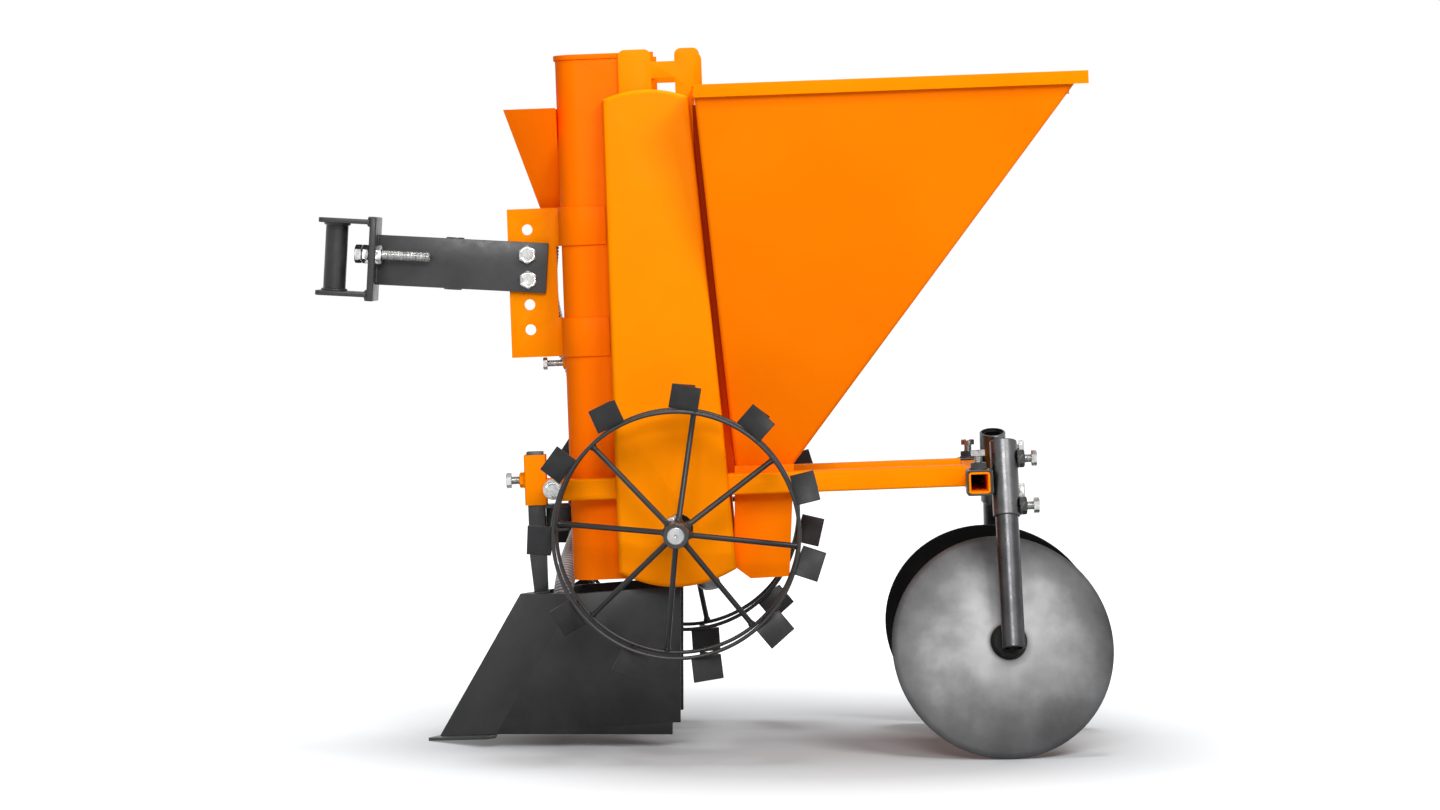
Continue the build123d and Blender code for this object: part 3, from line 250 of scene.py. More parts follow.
def closed_up():
    """Merge what coincides, turn every face outwards and leave edit mode."""
    bpy.ops.mesh.select_all(action="SELECT")
    bpy.ops.mesh.remove_doubles(threshold=0.001)
    bpy.ops.mesh.normals_make_consistent(inside=False)
    bpy.ops.object.mode_set(mode="OBJECT")
    return bpy.context.object


def plate(points, push):
    """A flat outline pushed to its thickness."""
    drawn(points)
    bpy.ops.mesh.extrude_region_move(TRANSFORM_OT_translate={"value": Vector(push)})
    return closed_up()


def slab(plan, low, height):
    """An outline in plan pushed up from a level."""
    return plate([(x, y, low) for x, y in plan], (0, 0, height))


def panel(outline, near, thick):
    """An upright outline pushed across the machine."""
    return plate([(x, near, z) for x, z in outline], (0, thick, 0))


def oblong(front, back, first, last):
    """Corners of a rectangle between two bounds each way."""
    return [(front, first), (back, first), (back, last), (front, last)]


def chosen(piece):
    """Make a piece the active one and the only one selected."""
    bpy.ops.object.select_all(action="DESELECT")
    piece.select_set(True)
    bpy.context.view_layer.objects.active = piece
    return piece


def applied(piece, kind, **settings):
    """Put one modifier on a piece and apply it."""
    modifier = chosen(piece).modifiers.new(kind.lower(), kind)
    for name, value in settings.items():
        setattr(modifier, name, value)
    bpy.ops.object.modifier_apply(modifier=modifier.name)
    return piece


def eased(piece, width, segments=2, angle=35):
    """Round every sharp edge a little, and shade the curves smooth."""
    applied(
        piece, "BEVEL", width=width, segments=segments, limit_method="ANGLE", angle_limit=math.radians(angle),
        miter_outer="MITER_ARC",
    )
    bpy.ops.object.shade_smooth_by_angle(angle=math.radians(angle))
    return piece


def moved(piece, place):
    """Move a piece's mesh to its place."""
    piece.data.transform(place)
    return piece


def settle(piece, name, body, slot, *nodes, place=stance, finish=None):
    """A finished piece: set in its place, named, given its own or its slot's finish, riding on its body."""
    moved(piece, place)
    piece.name = piece.data.name = name
    piece.data.materials.clear()
    piece.data.materials.append(finish or finishes[slot])
    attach(piece, body)
    if nodes:
        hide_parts(*nodes)
    return piece


def arc(middle, radius, start, end, steps):
    """Points along an arc, angles in degrees."""
    turns = [math.radians(start + (end - start) * step / steps) for step in range(steps + 1)]
    return [(middle[0] + radius * math.cos(turn), middle[1] + radius * math.sin(turn)) for turn in turns]


def wrapped(front, back, half, corner, thickness, low, high):
    """Sheet folded round the front of the chute, from low to high."""
    def line(inset):
        radius, x, y = corner - inset, front + corner, half - corner
        bends = arc((x, y), radius, 90, 180, 10) + arc((x, -y), radius, 180, 270, 10)
        return [(back, half - inset)] + bends + [(back, inset - half)]
    return slab(line(0) + line(thickness)[::-1], low, high - low)


def united(piece, other, operation="UNION"):
    """Join, cut or cross one piece with another, which is used up."""
    applied(piece, "BOOLEAN", object=other, operation=operation, solver="EXACT")
    bpy.data.objects.remove(other)
    return piece


sheet, body_half = 2.0, 60.0
chute_front, chute_back, chute_corner, chute_low, chute_top = -129.0, -20.0, 26.0, -60.0, 563.0
chute = wrapped(chute_front, chute_back, body_half, chute_corner, sheet, chute_low, chute_top)
tab_back, tab_low = -11.0, 512.0
for side in (-1, 1):
    united(chute, panel(oblong(chute_back - 1, tab_back, tab_low, chute_top), side * body_half, -side * sheet))
settle(eased(chute, 0.6), "drop_chute_sheet", "frame", "orange_paint", "drop_chute", finish=painted_shade_orange)
band_gap, band_back, band_low = sheet + 0.1, -54.0, chute_top - 6
band = wrapped(
    chute_front - band_gap, band_back, body_half + band_gap, chute_corner + band_gap, sheet, band_low, chute_top,
)
settle(eased(band, 0.6), "chute_rim_band", "frame", "orange_paint", "chute_rim", finish=painted_shade_orange)

# Hopper: four sheets folded and welded into a funnel, open in front where the cups pass. Its mouth's edge is
# turned out and down into a stiff rim.
def picked(kind, test):
    """In edit mode, select the faces, edges or vertices that pass a test, and nothing else."""
    bpy.ops.mesh.select_mode(type={"verts": "VERT", "edges": "EDGE", "faces": "FACE"}[kind])
    bpy.ops.mesh.select_all(action="DESELECT")
    mesh = bmesh.from_edit_mesh(bpy.context.object.data)
    for item in getattr(mesh, kind):
        if test(item):
            item.select_set(True)
    mesh.select_flush_mode()
    bmesh.update_edit_mesh(bpy.context.object.data)


def middle(item):
    """Middle of an edge or face."""
    return sum((vertex.co for vertex in item.verts), Vector()) / len(item.verts)


def block(low, high):
    """Plain block between two corners, left in edit mode to be worked on."""
    bpy.ops.object.select_all(action="DESELECT")
    low, high = Vector(low), Vector(high)
    bpy.ops.mesh.primitive_cube_add(size=1, location=(low + high) / 2, scale=high - low)
    bpy.ops.object.transform_apply(location=True, rotation=True, scale=True)
    bpy.ops.object.mode_set(mode="EDIT")
    return bpy.context.object


def rounded(test, width, segments=4):
    """In edit mode, round the edges that pass a test."""
    picked("edges", test)
    bpy.ops.mesh.bevel(offset=width, segments=segments, affect="EDGES")


def sliced(place, way, **settings):
    """In edit mode, cut the whole mesh along a plane."""
    bpy.ops.mesh.select_all(action="SELECT")
    bpy.ops.mesh.bisect(plane_co=place, plane_no=way, **settings)


def shelled(test):
    """From edit mode, take away the faces that pass a test and give the others the sheet's thickness inwards."""
    picked("faces", test)
    bpy.ops.mesh.delete(type="FACE")
    return applied(closed_up(), "SOLIDIFY", thickness=sheet, offset=-1, use_even_offset=True)


hopper_low, hopper_high = 69.0, 516.0
foot_middle, foot_length, mouth_middle, mouth_length, mouth_half = 103.0, 70.0, 263.5, 453.0, 152.0
block(
    (foot_middle - foot_length / 2, -body_half, hopper_low), (foot_middle + foot_length / 2, body_half, hopper_high),
)
picked("faces", lambda face: face.normal.z > 0.9)
bpy.ops.transform.resize(
    value=(mouth_length / foot_length, mouth_half / body_half, 1), center_override=(foot_middle, 0, hopper_high),
)
bpy.ops.transform.translate(value=(mouth_middle - foot_middle, 0, 0))
rounded(lambda edge: abs(middle(edge).z - (hopper_low + hopper_high) / 2) < 1, 5)
inner_half = body_half - sheet
for side in (-inner_half, inner_half):
    sliced((0, side, 0), (0, 1, 0))
hopper = shelled(
    lambda face: abs(face.normal.z) > 0.99 or face.normal.x < -0.9 and abs(middle(face).y) < inner_half,
)
# The hopper and boot take a slightly darker copy of the orange, as painted shade.
settle(eased(hopper, 0.5), "hopper_funnel", "frame", "orange_paint", "hopper", finish=hopper_painted_shade_orange)


def frame_plan(front, back, half, wide):
    """Three sides of a rectangle in plan, open to the front, as a strip so wide."""
    return [
        (front, -half), (back, -half), (back, half), (front, half), (front, half - wide), (back - wide, half - wide),
        (back - wide, wide - half), (front, wide - half),
    ]


rim_front, rim_back, rim_half, rim_wide = 35.0, 496.0, 158.0, 10.0
skirt_low, skirt_height, lip_back, lip_near, lip_far = 503.0, 14.0, 41.0, 45.0, 150.0
rim = slab(frame_plan(rim_front, rim_back, rim_half, rim_wide), hopper_high, sheet)
for side in (-1, 1):
    skirt = oblong(rim_front + sheet, rim_back, rim_half * side, (rim_half - sheet) * side)
    united(rim, slab(skirt, skirt_low, skirt_height))
    united(rim, slab(oblong(rim_front, lip_back, lip_near * side, lip_far * side), hopper_high, sheet))
settle(eased(rim, 0.9, 3), "hopper_rim_flange", "frame", "orange_paint", "hopper_rim")


# Elevator boot and casing: folded sheets under and in front of the hopper, welded to the chute's sides. The boot
# is painted with the hopper, and the casing, which hardly shows, is drawn dark red as painted shade.
def eased_copy(node, width):
    """A merged copy of a solid whose own shape is right, with its edges rounded; it stays in the row's frame."""
    piece = chosen(linked(node + "_copy", frame["nodes"][node].data.copy()))
    bpy.ops.object.mode_set(mode="EDIT")
    bpy.ops.mesh.select_all(action="SELECT")
    bpy.ops.mesh.remove_doubles(threshold=0.000005)
    bpy.ops.mesh.dissolve_limited(angle_limit=math.radians(0.5))
    bpy.ops.object.mode_set(mode="OBJECT")
    return eased(piece, width / 1000)


row_frame = Matrix.Identity(4)


def own_shape(node, width, name, body, slot, finish=None):
    """Settle a piece that keeps its solid's own shape."""
    settle(eased_copy(node, width), name, body, slot, node, place=row_frame, finish=finish)


# Seen only through the narrow gap between cover and hopper, the casing is drawn dark red to paint in its shade.
casing_painted_shade = coat("casing_painted_shade", 0.04, 0.5)
own_shape("elevator_boot", 0.5, "elevator_boot_sheet", "frame", "orange_paint", hopper_painted_shade_orange)
own_shape("elevator_casing", 0.5, "elevator_casing_sheet", "frame", "orange_paint", casing_painted_shade)


# Rails, rear crossbar and front crossmember: the first two are square tube with rounded corners, cut square and
# welded; the crossmember is round tube, and the rails' front ends are cut to its curve.
def square_tube(low, high, axis, wall, corner=3.0):
    """Square tube between two corners, along axis 0, 1 or 2."""
    block(low, high)
    rounded(lambda edge: abs((edge.verts[0].co - edge.verts[1].co)[axis]) > 0.1, corner)
    picked("faces", lambda face: abs(face.normal[axis]) > 0.99)
    bpy.ops.mesh.inset(thickness=wall)
    bpy.ops.mesh.bridge_edge_loops()
    return closed_up()


def turned(profile, steps=32):
    """A round piece about Z, spun from a half profile of radius and height."""
    drawn([(radius, 0, height) for radius, height in profile], closed=False)
    bpy.ops.mesh.spin(steps=steps, angle=2 * math.pi, center=(0, 0, 0), axis=(0, 0, 1))
    return closed_up()


def smoothed(piece, angle=35):
    """Shade the curves smooth and leave the corners crisp."""
    chosen(piece)
    bpy.ops.object.shade_smooth_by_angle(angle=math.radians(angle))
    return piece


def aimed(origin, direction=(0, 1, 0)):
    """Place at a point with Z along a direction, or else across the machine."""
    return Matrix.Translation(origin) @ Vector(direction).to_track_quat("Z", "Y").to_matrix().to_4x4()


def bored(piece, radius, length, place, steps=40):
    """Cut a round hole out of a piece, so long from its place on."""
    drill = turned([(0, 0), (radius, 0), (radius, length), (0, length)], steps)
    return united(piece, moved(drill, place), "DIFFERENCE")


def ring(outer, bore, height, ease=0.4):
    """Washer, boss, collar or hub standing on z = 0."""
    inside, outside = bore / 2, outer / 2
    edge = [(outside - ease, 0), (outside, ease), (outside, height - ease), (outside - ease, height)]
    return smoothed(turned([(inside, 0), *edge, (inside, height), (inside, 0)], 40))


rail_z, rail_size, rail_wall = 48.5, 25.0, 2.5
rail_low, rail_high = rail_z - rail_size / 2, rail_z + rail_size / 2
rail_outside = body_half + rail_size
crossbar_x, crossbar_z, crossbar_half, crossbar_size = 353.0, 43.5, 150.0, 25.0
crossbar_corner = Vector((crossbar_size / 2, crossbar_half, crossbar_size / 2))
crossbar_middle = Vector((crossbar_x, 0, crossbar_z))
crossmember_x, crossmember_z, crossmember_outer, rail_front = -146.5, 50.5, 25.0, -139.0
for side, near, far in (("left", -rail_outside, -body_half), ("right", body_half, rail_outside)):
    rail = square_tube((rail_front, near, rail_low), (crossbar_x - crossbar_size / 2, far, rail_high), 0, rail_wall)
    bored(rail, crossmember_outer / 2, rail_size + 15, aimed((crossmember_x, near - 5, crossmember_z)), 48)
    settle(eased(rail, 0.5), f"{side}_rail_tube", "frame", "orange_paint", f"{side}_rail")
crossmember = ring(crossmember_outer, crossmember_outer - 2 * rail_wall, 2 * rail_outside, 0.6)
moved(crossmember, aimed((crossmember_x, -rail_outside, crossmember_z)))
settle(crossmember, "front_crossmember_tube", "frame", "orange_paint", "front_crossmember")
crossbar = square_tube(crossbar_middle - crossbar_corner, crossbar_middle + crossbar_corner, 1, rail_wall)
settle(eased(crossbar, 0.5), "rear_crossbar_tube", "frame", "orange_paint", "rear_crossbar")


# Cross bolt: M12 through the crossmember from end to end, with wide washers and a nut. All are rolled and cut from
# steel and zinc plated, as are the machine's other bolts.
def hexagon(across, height, bore=0.0, both=False):
    """Hexagon head or nut standing on z = 0, its corners turned off at the top or at both ends."""
    bpy.ops.object.select_all(action="DESELECT")
    bpy.ops.mesh.primitive_cylinder_add(
        vertices=6, radius=across / math.sqrt(3), depth=height, location=(0, 0, height / 2),
    )
    bpy.ops.object.transform_apply(location=True, rotation=True, scale=True)
    head = bpy.context.object
    corner, flat, turn_off = across * 0.6, across * 0.475, across * 0.075
    foot = [(0, 0), (flat, 0), (corner, turn_off)] if both else [(0, 0), (corner, 0)]
    dish = [] if bore else [(0.78 * flat, height), (0.68 * flat, 0.95 * height)]
    top = [(flat, height), *dish, (0, dish[-1][1] if dish else height)]
    united(head, turned(foot + [(corner, height - turn_off), *top], 48), "INTERSECT")
    if bore:
        bored(head, bore / 2, height + 2, Matrix.Translation((0, 0, -1)), 32)
    return smoothed(eased(head, 0.15, 1, 25), 12)


def thread(diameter, length, pitch):
    """Screw thread up from z = 0, cut off square at its tip."""
    crest, root = diameter / 2, diameter / 2 - 0.55 * pitch
    piece = drawn([(root, 0, 0), (crest, 0, 0.4 * pitch), (crest, 0, 0.6 * pitch), (root, 0, pitch)], False)
    bpy.ops.object.mode_set(mode="OBJECT")
    applied(
        piece, "SCREW", axis="Z", steps=20, render_steps=20, screw_offset=pitch, iterations=round(length / pitch) + 3,
        use_merge_vertices=True, merge_threshold=0.01,
    )
    bpy.ops.object.mode_set(mode="EDIT")
    for height, upper in ((1.5 * pitch, False), (1.5 * pitch + length, True)):
        sliced((0, 0, height), (0, 0, 1), use_fill=True, clear_outer=upper, clear_inner=not upper)
    bpy.ops.mesh.select_all(action="SELECT")
    bpy.ops.transform.translate(value=(0, 0, -1.5 * pitch))
    return smoothed(closed_up(), 50)


def joined(*pieces):
    """Several meshes as one piece."""
    chosen(pieces[0])
    for piece in pieces[1:]:
        piece.select_set(True)
    if len(pieces) > 1:
        bpy.ops.object.join()
    return bpy.context.object


def copied(model, place):
    """A copy with its own mesh, set in its place."""
    twin = moved(linked(model.name, model.data.copy()), place)
    if place.determinant() < 0:
        twin.data.flip_normals()
    return twin


def steel(name, cloud, dark, light, grain, smooth, rough):
    """Bare or plated metal, cloudy between two greys, its roughness between two bounds."""
    metal, shader, place = mixed(name, Metallic=1.0)
    hue = place.noise(*cloud).ramp((0.3, dark), (0.7, light))
    feed(shader, Base_Color=hue, Roughness=place.noise(*grain).span(0.3, 0.7, smooth, rough))
    return metal


finishes["zinc"] = steel("zinc_plate", (160.0, 4.0), (0.3, 0.3, 0.295), (0.56, 0.56, 0.55), (240.0, 3.0), 0.2, 0.38)
m8, m10, m12 = 8.0, 10.0, 12.0
thread_pitch = {m8: 1.25, m10: 1.5, m12: 1.75}
hex_ratio, head_ratio = 1.6, 0.65


def bolt(diameter, length):
    """Hexagon bolt: its head under z = 0, its thread up to the tip."""
    head = moved(hexagon(hex_ratio * diameter, head_ratio * diameter), Matrix.Rotation(math.pi, 4, "X"))
    return joined(head, thread(diameter, length, thread_pitch[diameter]))


def nut(diameter):
    """Hexagon nut standing on z = 0."""
    return hexagon(hex_ratio * diameter, head_ratio * diameter, bore=diameter + 0.2, both=True)


def retired(*models):
    """Take away models whose copies are all in place."""
    for model in models:
        bpy.data.objects.remove(model)


washer_thick = 2.5
washer_out = rail_outside + washer_thick
cross_bolt = bolt(m12, 2 * washer_out + m12)
cross_washer, cross_nut = ring(2 * m12, m12 + 0.2, washer_thick), nut(m12)
parts = [copied(cross_bolt, aimed((crossmember_x, -washer_out, crossmember_z)))]
parts.append(copied(cross_nut, aimed((crossmember_x, washer_out, crossmember_z))))
for side in (-1, 1):
    parts.append(copied(cross_washer, aimed((crossmember_x, side * rail_outside, crossmember_z), (0, side, 0))))
settle(joined(*parts), "front_cross_bolt_set", "frame", "zinc", "front_cross_bolt")
retired(cross_bolt, cross_washer, cross_nut)

# Tension brackets: a portal of 4 mm plate on each side, whose slot guides the top shaft's cast sliding bearing,
# with the screw that draws the bearing up and the chain tight. The axle's cast bearings sit under the rails.
for side in ("left", "right"):
    own_shape(f"{side}_tension_bracket", 0.7, f"{side}_tension_portal", "frame", "orange_paint")
cast_iron, iron_shader, iron_place = mixed("cast_iron", Specular_IOR_Level=0.3)
iron_hue = iron_place.noise(120.0, 5.0).ramp((0.3, (0.03, 0.03, 0.03)), (0.7, (0.07, 0.068, 0.065)))
feed(
    iron_shader, Base_Color=iron_hue, Roughness=iron_place.noise(200.0, 3.0).span(0.3, 0.7, 0.6, 0.8),
    Normal=relief(iron_place.noise(900.0, 3.0), 0.0003, 0.6),
)
finishes["cast_iron"] = cast_iron
own_shape("top_bearings", 0.8, "top_bearing_blocks", "frame", "cast_iron")
own_shape("axle_bearings", 1.2, "axle_bearing_blocks", "frame", "cast_iron")
chain_centres = 457.2
tension_y, tab_top, bearing_top = 67.0, 499.0, chain_centres + 22
tension_screw = bolt(m8, tab_top - bearing_top)
screws = [copied(tension_screw, aimed((0, side * tension_y, tab_top), (0, 0, -1))) for side in (-1, 1)]
settle(joined(*screws), "tension_screw_pair", "frame", "zinc", "tension_screws")
retired(tension_screw)

# Side covers: pressed trays of sheet over the elevator's flanks, bowed at top and bottom, with soft edges and a
# bend above the rails; notched for the rails and brackets and bored for the axle.
cover_front, cover_back_top, cover_back_bend, cover_back_low = -72.0, 29.0, 55.0, 66.0
cover_top, cover_crown, cover_low, cover_sag, cover_bend = 508.0, 10.0, -50.0, 19.0, 133.0
cover_y_top, cover_y_bend = 80.0, 101.0
notch, axle_hole, bracket_front, bracket_back, bracket_low = 1.0, 17.0, -54.0, 47.0, 379.0
mirrored = Matrix.Scale(-1, 4, (0, 1, 0))
both_sides = (("left", mirrored), ("right", row_frame))


def bar_stock(low, high):
    """Plain block between two corners."""
    block(low, high)
    return closed_up()


def bow(start, end, rise, steps):
    """Points along a shallow arc between two points of one height, bulging by rise."""
    half = (end[0] - start[0]) / 2
    made = []
    for step in range(steps + 1):
        share = 2 * step / steps - 1
        made.append((start[0] + half * (1 + share), start[1] + rise * (1 - share * share)))
    return made


cover_plan = bow((cover_front, cover_top), (cover_back_top, cover_top), cover_crown, 16)
cover_plan.append((cover_back_bend, cover_bend))
cover_plan += bow((cover_back_low, cover_low), (cover_front, cover_low), -cover_sag, 20)
cover_plan.append((cover_front, cover_bend))
tray = panel(cover_plan, body_half, cover_y_bend - body_half)
bpy.ops.object.mode_set(mode="EDIT")
sliced((0, 0, cover_bend), (0, 0, 1))
cover_mesh = bmesh.from_edit_mesh(tray.data)
for vertex in cover_mesh.verts:
    if vertex.co.y > body_half + 1 and vertex.co.z > cover_bend:
        share = (vertex.co.z - cover_bend) / (cover_top + cover_crown - cover_bend)
        vertex.co.y = cover_y_bend + share * (cover_y_top - cover_y_bend)
bmesh.update_edit_mesh(tray.data)
bpy.ops.mesh.normals_make_consistent(inside=False)
rounded(
    lambda edge: all(vertex.co.y > body_half + 1 for vertex in edge.verts)
    and any(abs(face.normal.y) < 0.5 for face in edge.link_faces), 6, 5,
)
shelled(lambda face: face.normal.y < -0.99)
for low, high in (
    ((-200, 0, rail_low - notch), (200, rail_outside + notch, rail_high + notch)),
    ((bracket_front, 0, bracket_low), (bracket_back, body_half + 5, 600)),
):
    united(tray, bar_stock(low, high), "DIFFERENCE")
bored(tray, axle_hole, 200, aimed((0, 0, 0)), 48)
eased(tray, 0.4, 2, 50)
for side, place in both_sides:
    settle(copied(tray, place), f"{side}_cover_tray", "frame", "orange_paint", f"{side}_side_cover")
retired(tray)

# Shafts and sprockets: the wheel axle and the top shaft are turned from bright bar, and each carries a cut
# sprocket of eight teeth.
finishes["bare_steel"] = steel(
    "bright_steel", (60.0, 5.0), (0.24, 0.24, 0.245), (0.42, 0.42, 0.42), (300.0, 3.0), 0.25, 0.4,
)


def shaft(diameter, length):
    """Turned bar from z = 0 with chamfered, centre-drilled ends."""
    radius, drill = diameter / 2, diameter / 9
    return smoothed(turned([
        (0, drill), (drill, 0), (radius - 1, 0), (radius, 1), (radius, length - 1), (radius - 1, length),
        (drill, length), (0, length - drill),
    ], 48))


axle_half, axle_thick, top_half, top_thick = 231.0, 20.0, 75.0, 16.0
axle = moved(shaft(axle_thick, 2 * axle_half), aimed((0, -axle_half, 0)))
settle(axle, "wheel_axle_bar", "wheels", "bare_steel", "wheel_axle")
top_bar = moved(shaft(top_thick, 2 * top_half), aimed((0, -top_half, chain_centres)))
settle(top_bar, "top_shaft_bar", "top_shaft", "bare_steel", "top_shaft")
own_shape("lower_sprocket", 0.4, "lower_sprocket_cut", "wheels", "bare_steel")
own_shape("top_sprocket", 0.4, "top_sprocket_cut", "top_shaft", "bare_steel")

# Elevator chain: rollers on riveted pins between waisted side plates, inner and outer links by turns. It is bright
# steel, stamped and turned, and runs round both sprockets.
chain_pitch, strand_links, teeth = 25.4, 18, 8
pitch_radius = chain_pitch / 2 / math.sin(math.pi / teeth)
turns = [2 * math.pi * tooth / teeth for tooth in range(1, teeth // 2)]
rises = [chain_pitch * step for step in range(strand_links + 1)]
pins = [(pitch_radius, rise) for rise in rises]
pins += [(pitch_radius * math.cos(a), chain_centres + pitch_radius * math.sin(a)) for a in turns]
pins += [(-pitch_radius, chain_centres - rise) for rise in rises]
pins += [(-pitch_radius * math.cos(a), -pitch_radius * math.sin(a)) for a in turns]
link_places = []
for pin, following in zip(pins, pins[1:] + pins[:1]):
    forward = Vector((following[0] - pin[0], 0, following[1] - pin[1])).normalized()
    outward = Vector((forward.z, 0, -forward.x))
    turn = Matrix((forward, outward.cross(forward), outward)).transposed().to_4x4()
    link_places.append(Matrix.Translation((pin[0], 0, pin[1])) @ turn)


def link_plate(near):
    """Waisted side plate between two pins, from near outwards along Y."""
    end_round, waist, thick = 6.0, 4.0, math.copysign(1.5, near)
    points = [(chain_pitch / 2, waist), *arc((0, 0), end_round, 50, 310, 10)]
    points += [(chain_pitch / 2, -waist), *arc((chain_pitch, 0), end_round, 230, 490, 10)]
    return smoothed(panel(points, near, thick))


chain_models = []
for near in (4.0, 5.7):
    sides = [link_plate(near), link_plate(-near)]
    pin_bar = smoothed(turned([(0, 0), (1.6, 0), (2.6, 0.8), (2.6, 13.6), (1.6, 14.4), (0, 14.4)], 12))
    roller = ring(7.9, 5.4, 7.6, 0.3)
    chain_models.append(joined(*sides, moved(pin_bar, aimed((0, -7.2, 0))), moved(roller, aimed((0, -3.8, 0)))))
links = [copied(chain_models[number % 2], place) for number, place in enumerate(link_places)]
settle(joined(*links), "elevator_chain_links", "frame", "bare_steel", "elevator_chain")
retired(*chain_models)

# Elevator cups: pressed bowls of bright steel, each spot-welded to a strap whose two ears are riveted to every
# fourth link.
cup_half, cup_rise, strap_half, strap_low, strap_top = 13.0, 33.27, 12.0, 6.6, 8.6
ear_half, ear_near, ear_far, ear_low = 6.0, 7.4, 9.4, -2.0
bowl = [
    (0, -13), (9, -13), (14, -12.4), (18.5, -10.4), (22, -7), (24.4, -2), (25.8, 4), (26.6, 9), (26.4, 12.4), (26, 13),
    (25, 12.6), (24.6, 9), (23.8, 4), (22.4, -1.4), (20.2, -5.8), (17.2, -8.8), (13.4, -10.5), (9, -11), (0, -11),
]
cup = moved(smoothed(turned(bowl, 28), 50), aimed((0, 0, cup_rise), (1, 0, 0)))
cup_parts = [cup, eased(bar_stock((-cup_half, -strap_half, strap_low), (cup_half, strap_half, strap_top)), 0.5)]
for side in (-1, 1):
    near, far = sorted((side * ear_near, side * ear_far))
    ear = eased(bar_stock((-ear_half, near, ear_low), (ear_half, far, strap_top)), 0.4)
    rivet = smoothed(turned([(0, 0), (2.6, 0), (2.4, 0.8), (1.4, 1.4), (0, 1.6)], 12))
    cup_parts += [ear, moved(rivet, aimed((0, side * ear_far, 1.5), (0, side, 0)))]
cup = joined(*cup_parts)
half_link = Matrix.Translation((chain_pitch / 2, 0, 0))
cups = [copied(cup, place @ half_link) for place in link_places[2::4]]
settle(joined(*cups), "elevator_cup_bowls", "frame", "bare_steel", "elevator_cups")
retired(cup)

# Drive wheels: two hoops of thin bar, set apart, carry lugs of angle iron; eight slanting spokes weld the
# right-hand hoop to a tube hub, which a set bolt holds on the axle. Hoops and spokes are black, the rest dark grey.
def dark_coat(name, grey, shine=0.35):
    """Satin dark paint, a little cloudy and grained."""
    paint, shader, place = mixed(name, Specular_IOR_Level=shine)
    low, high = (0.7 * grey, 0.7 * grey, 0.73 * grey), (1.3 * grey, 1.3 * grey, 1.33 * grey)
    feed(
        shader, Base_Color=place.noise(22.0, 6.0, 0.6).ramp((0.3, low), (0.7, high)),
        Roughness=place.noise(80.0, 4.0).span(0.3, 0.7, 0.28, 0.42),
        Normal=relief(place.noise(500.0, 3.0), 0.0001, 0.4),
    )
    return paint


finishes["dark_paint"] = dark_coat("dark_paint", 0.031)
lug_grey, wheel_black = dark_coat("lug_grey", 0.03, 0.12), dark_coat("wheel_black", 0.013, 0.4)


def along(points, step):
    """Places and directions at even steps along a line of points."""
    lengths = [0.0]
    for before, after in zip(points, points[1:]):
        lengths.append(lengths[-1] + (after - before).length)
    count = round(lengths[-1] / step)
    made, span = [], 0
    for number in range(count + 1):
        reach = min(lengths[-1] * number / count, lengths[-1] * (1 - 1e-9))
        while lengths[span + 1] < reach:
            span += 1
        share = (reach - lengths[span]) / (lengths[span + 1] - lengths[span])
        made.append((points[span].lerp(points[span + 1], share), (points[span + 1] - points[span]).normalized()))
    return made


def curve(name, kind, places):
    """A curve laid along some places, and its spline."""
    line = bpy.data.curves.new(name, "CURVE")
    line.dimensions = "3D"
    spline = line.splines.new(kind)
    spline.points.add(len(places) - 1)
    for point, place in zip(spline.points, places):
        point.co = (*place, 1.0)
    return line, spline


def bead(points, radius):
    """Weld bead along a line: a rippled run that swells and shrinks a little."""
    stations = along([Vector(point) for point in points], 0.35 * radius)
    run, spline = curve("bead", "POLY", [place for place, direction in stations])
    run.bevel_depth = radius
    run.bevel_resolution = 2
    run.use_fill_caps = True
    last = len(stations) - 1
    for number, point in enumerate(spline.points):
        ripple = 0.84 + 0.12 * abs(math.sin(0.9 * number)) + 0.06 * math.sin(0.37 * number + radius)
        point.radius = ripple * min(1.0, 0.55 + 0.25 * min(number, last - number))
    chosen(linked("bead", run))
    bpy.ops.object.convert(target="MESH")
    return smoothed(bpy.context.object, 60)


wheel_y, hoop_radius, hoop_bar, hoop_gap, hoop_out, seam_angle = 195.0, 141.5, 4.6, 70.0, 209.0, 203.0
hub_outer, hub_length, hub_bolt_angle, hub_bolt_bite = 29.0, 68.0, 114.0, 4.2


def around(angle, radius, y):
    """Point on a circle round the axle; the angle runs from the back up over the top."""
    turn = math.radians(angle)
    return Vector((radius * math.cos(turn), y, radius * math.sin(turn)))


def leaning(phase, leans):
    """Angles spread evenly from a phase on, each with a lean of its own, as welded by hand."""
    return [phase + 360 / len(leans) * number + lean for number, lean in enumerate(leans)]


bpy.ops.object.select_all(action="DESELECT")
bpy.ops.mesh.primitive_torus_add(
    major_radius=hoop_radius, minor_radius=hoop_bar / 2, major_segments=128, minor_segments=14,
    rotation=(math.pi / 2, 0, 0),
)
bpy.ops.object.transform_apply(location=True, rotation=True, scale=True)
bpy.ops.object.mode_set(mode="EDIT")
hoop_seam = around(seam_angle, hoop_radius, 0)
picked("verts", lambda vertex: (vertex.co - hoop_seam).length < 4.5)
bpy.ops.transform.shrink_fatten(value=0.45)
hoop = smoothed(closed_up())
spoke_start, spoke_end, spoke_slant = 12.8, hoop_radius - 2.2, 42.0
spoke_leans = (-3.4, 4.6, 0.8, 3.8, -0.8, -2.2, -2.9, -3.9)
spoke_length = math.hypot(spoke_end - spoke_start, spoke_slant)
spoke = smoothed(turned([
    (0, 0), (6.2, 0), (5.8, 1.8), (4.5, 3.4), (3.6, 5.2), (3.3, 7), (3.3, spoke_length - 5), (3.8, spoke_length - 3),
    (4.5, spoke_length - 1.4), (4.2, spoke_length), (0, spoke_length),
], 18), 50)
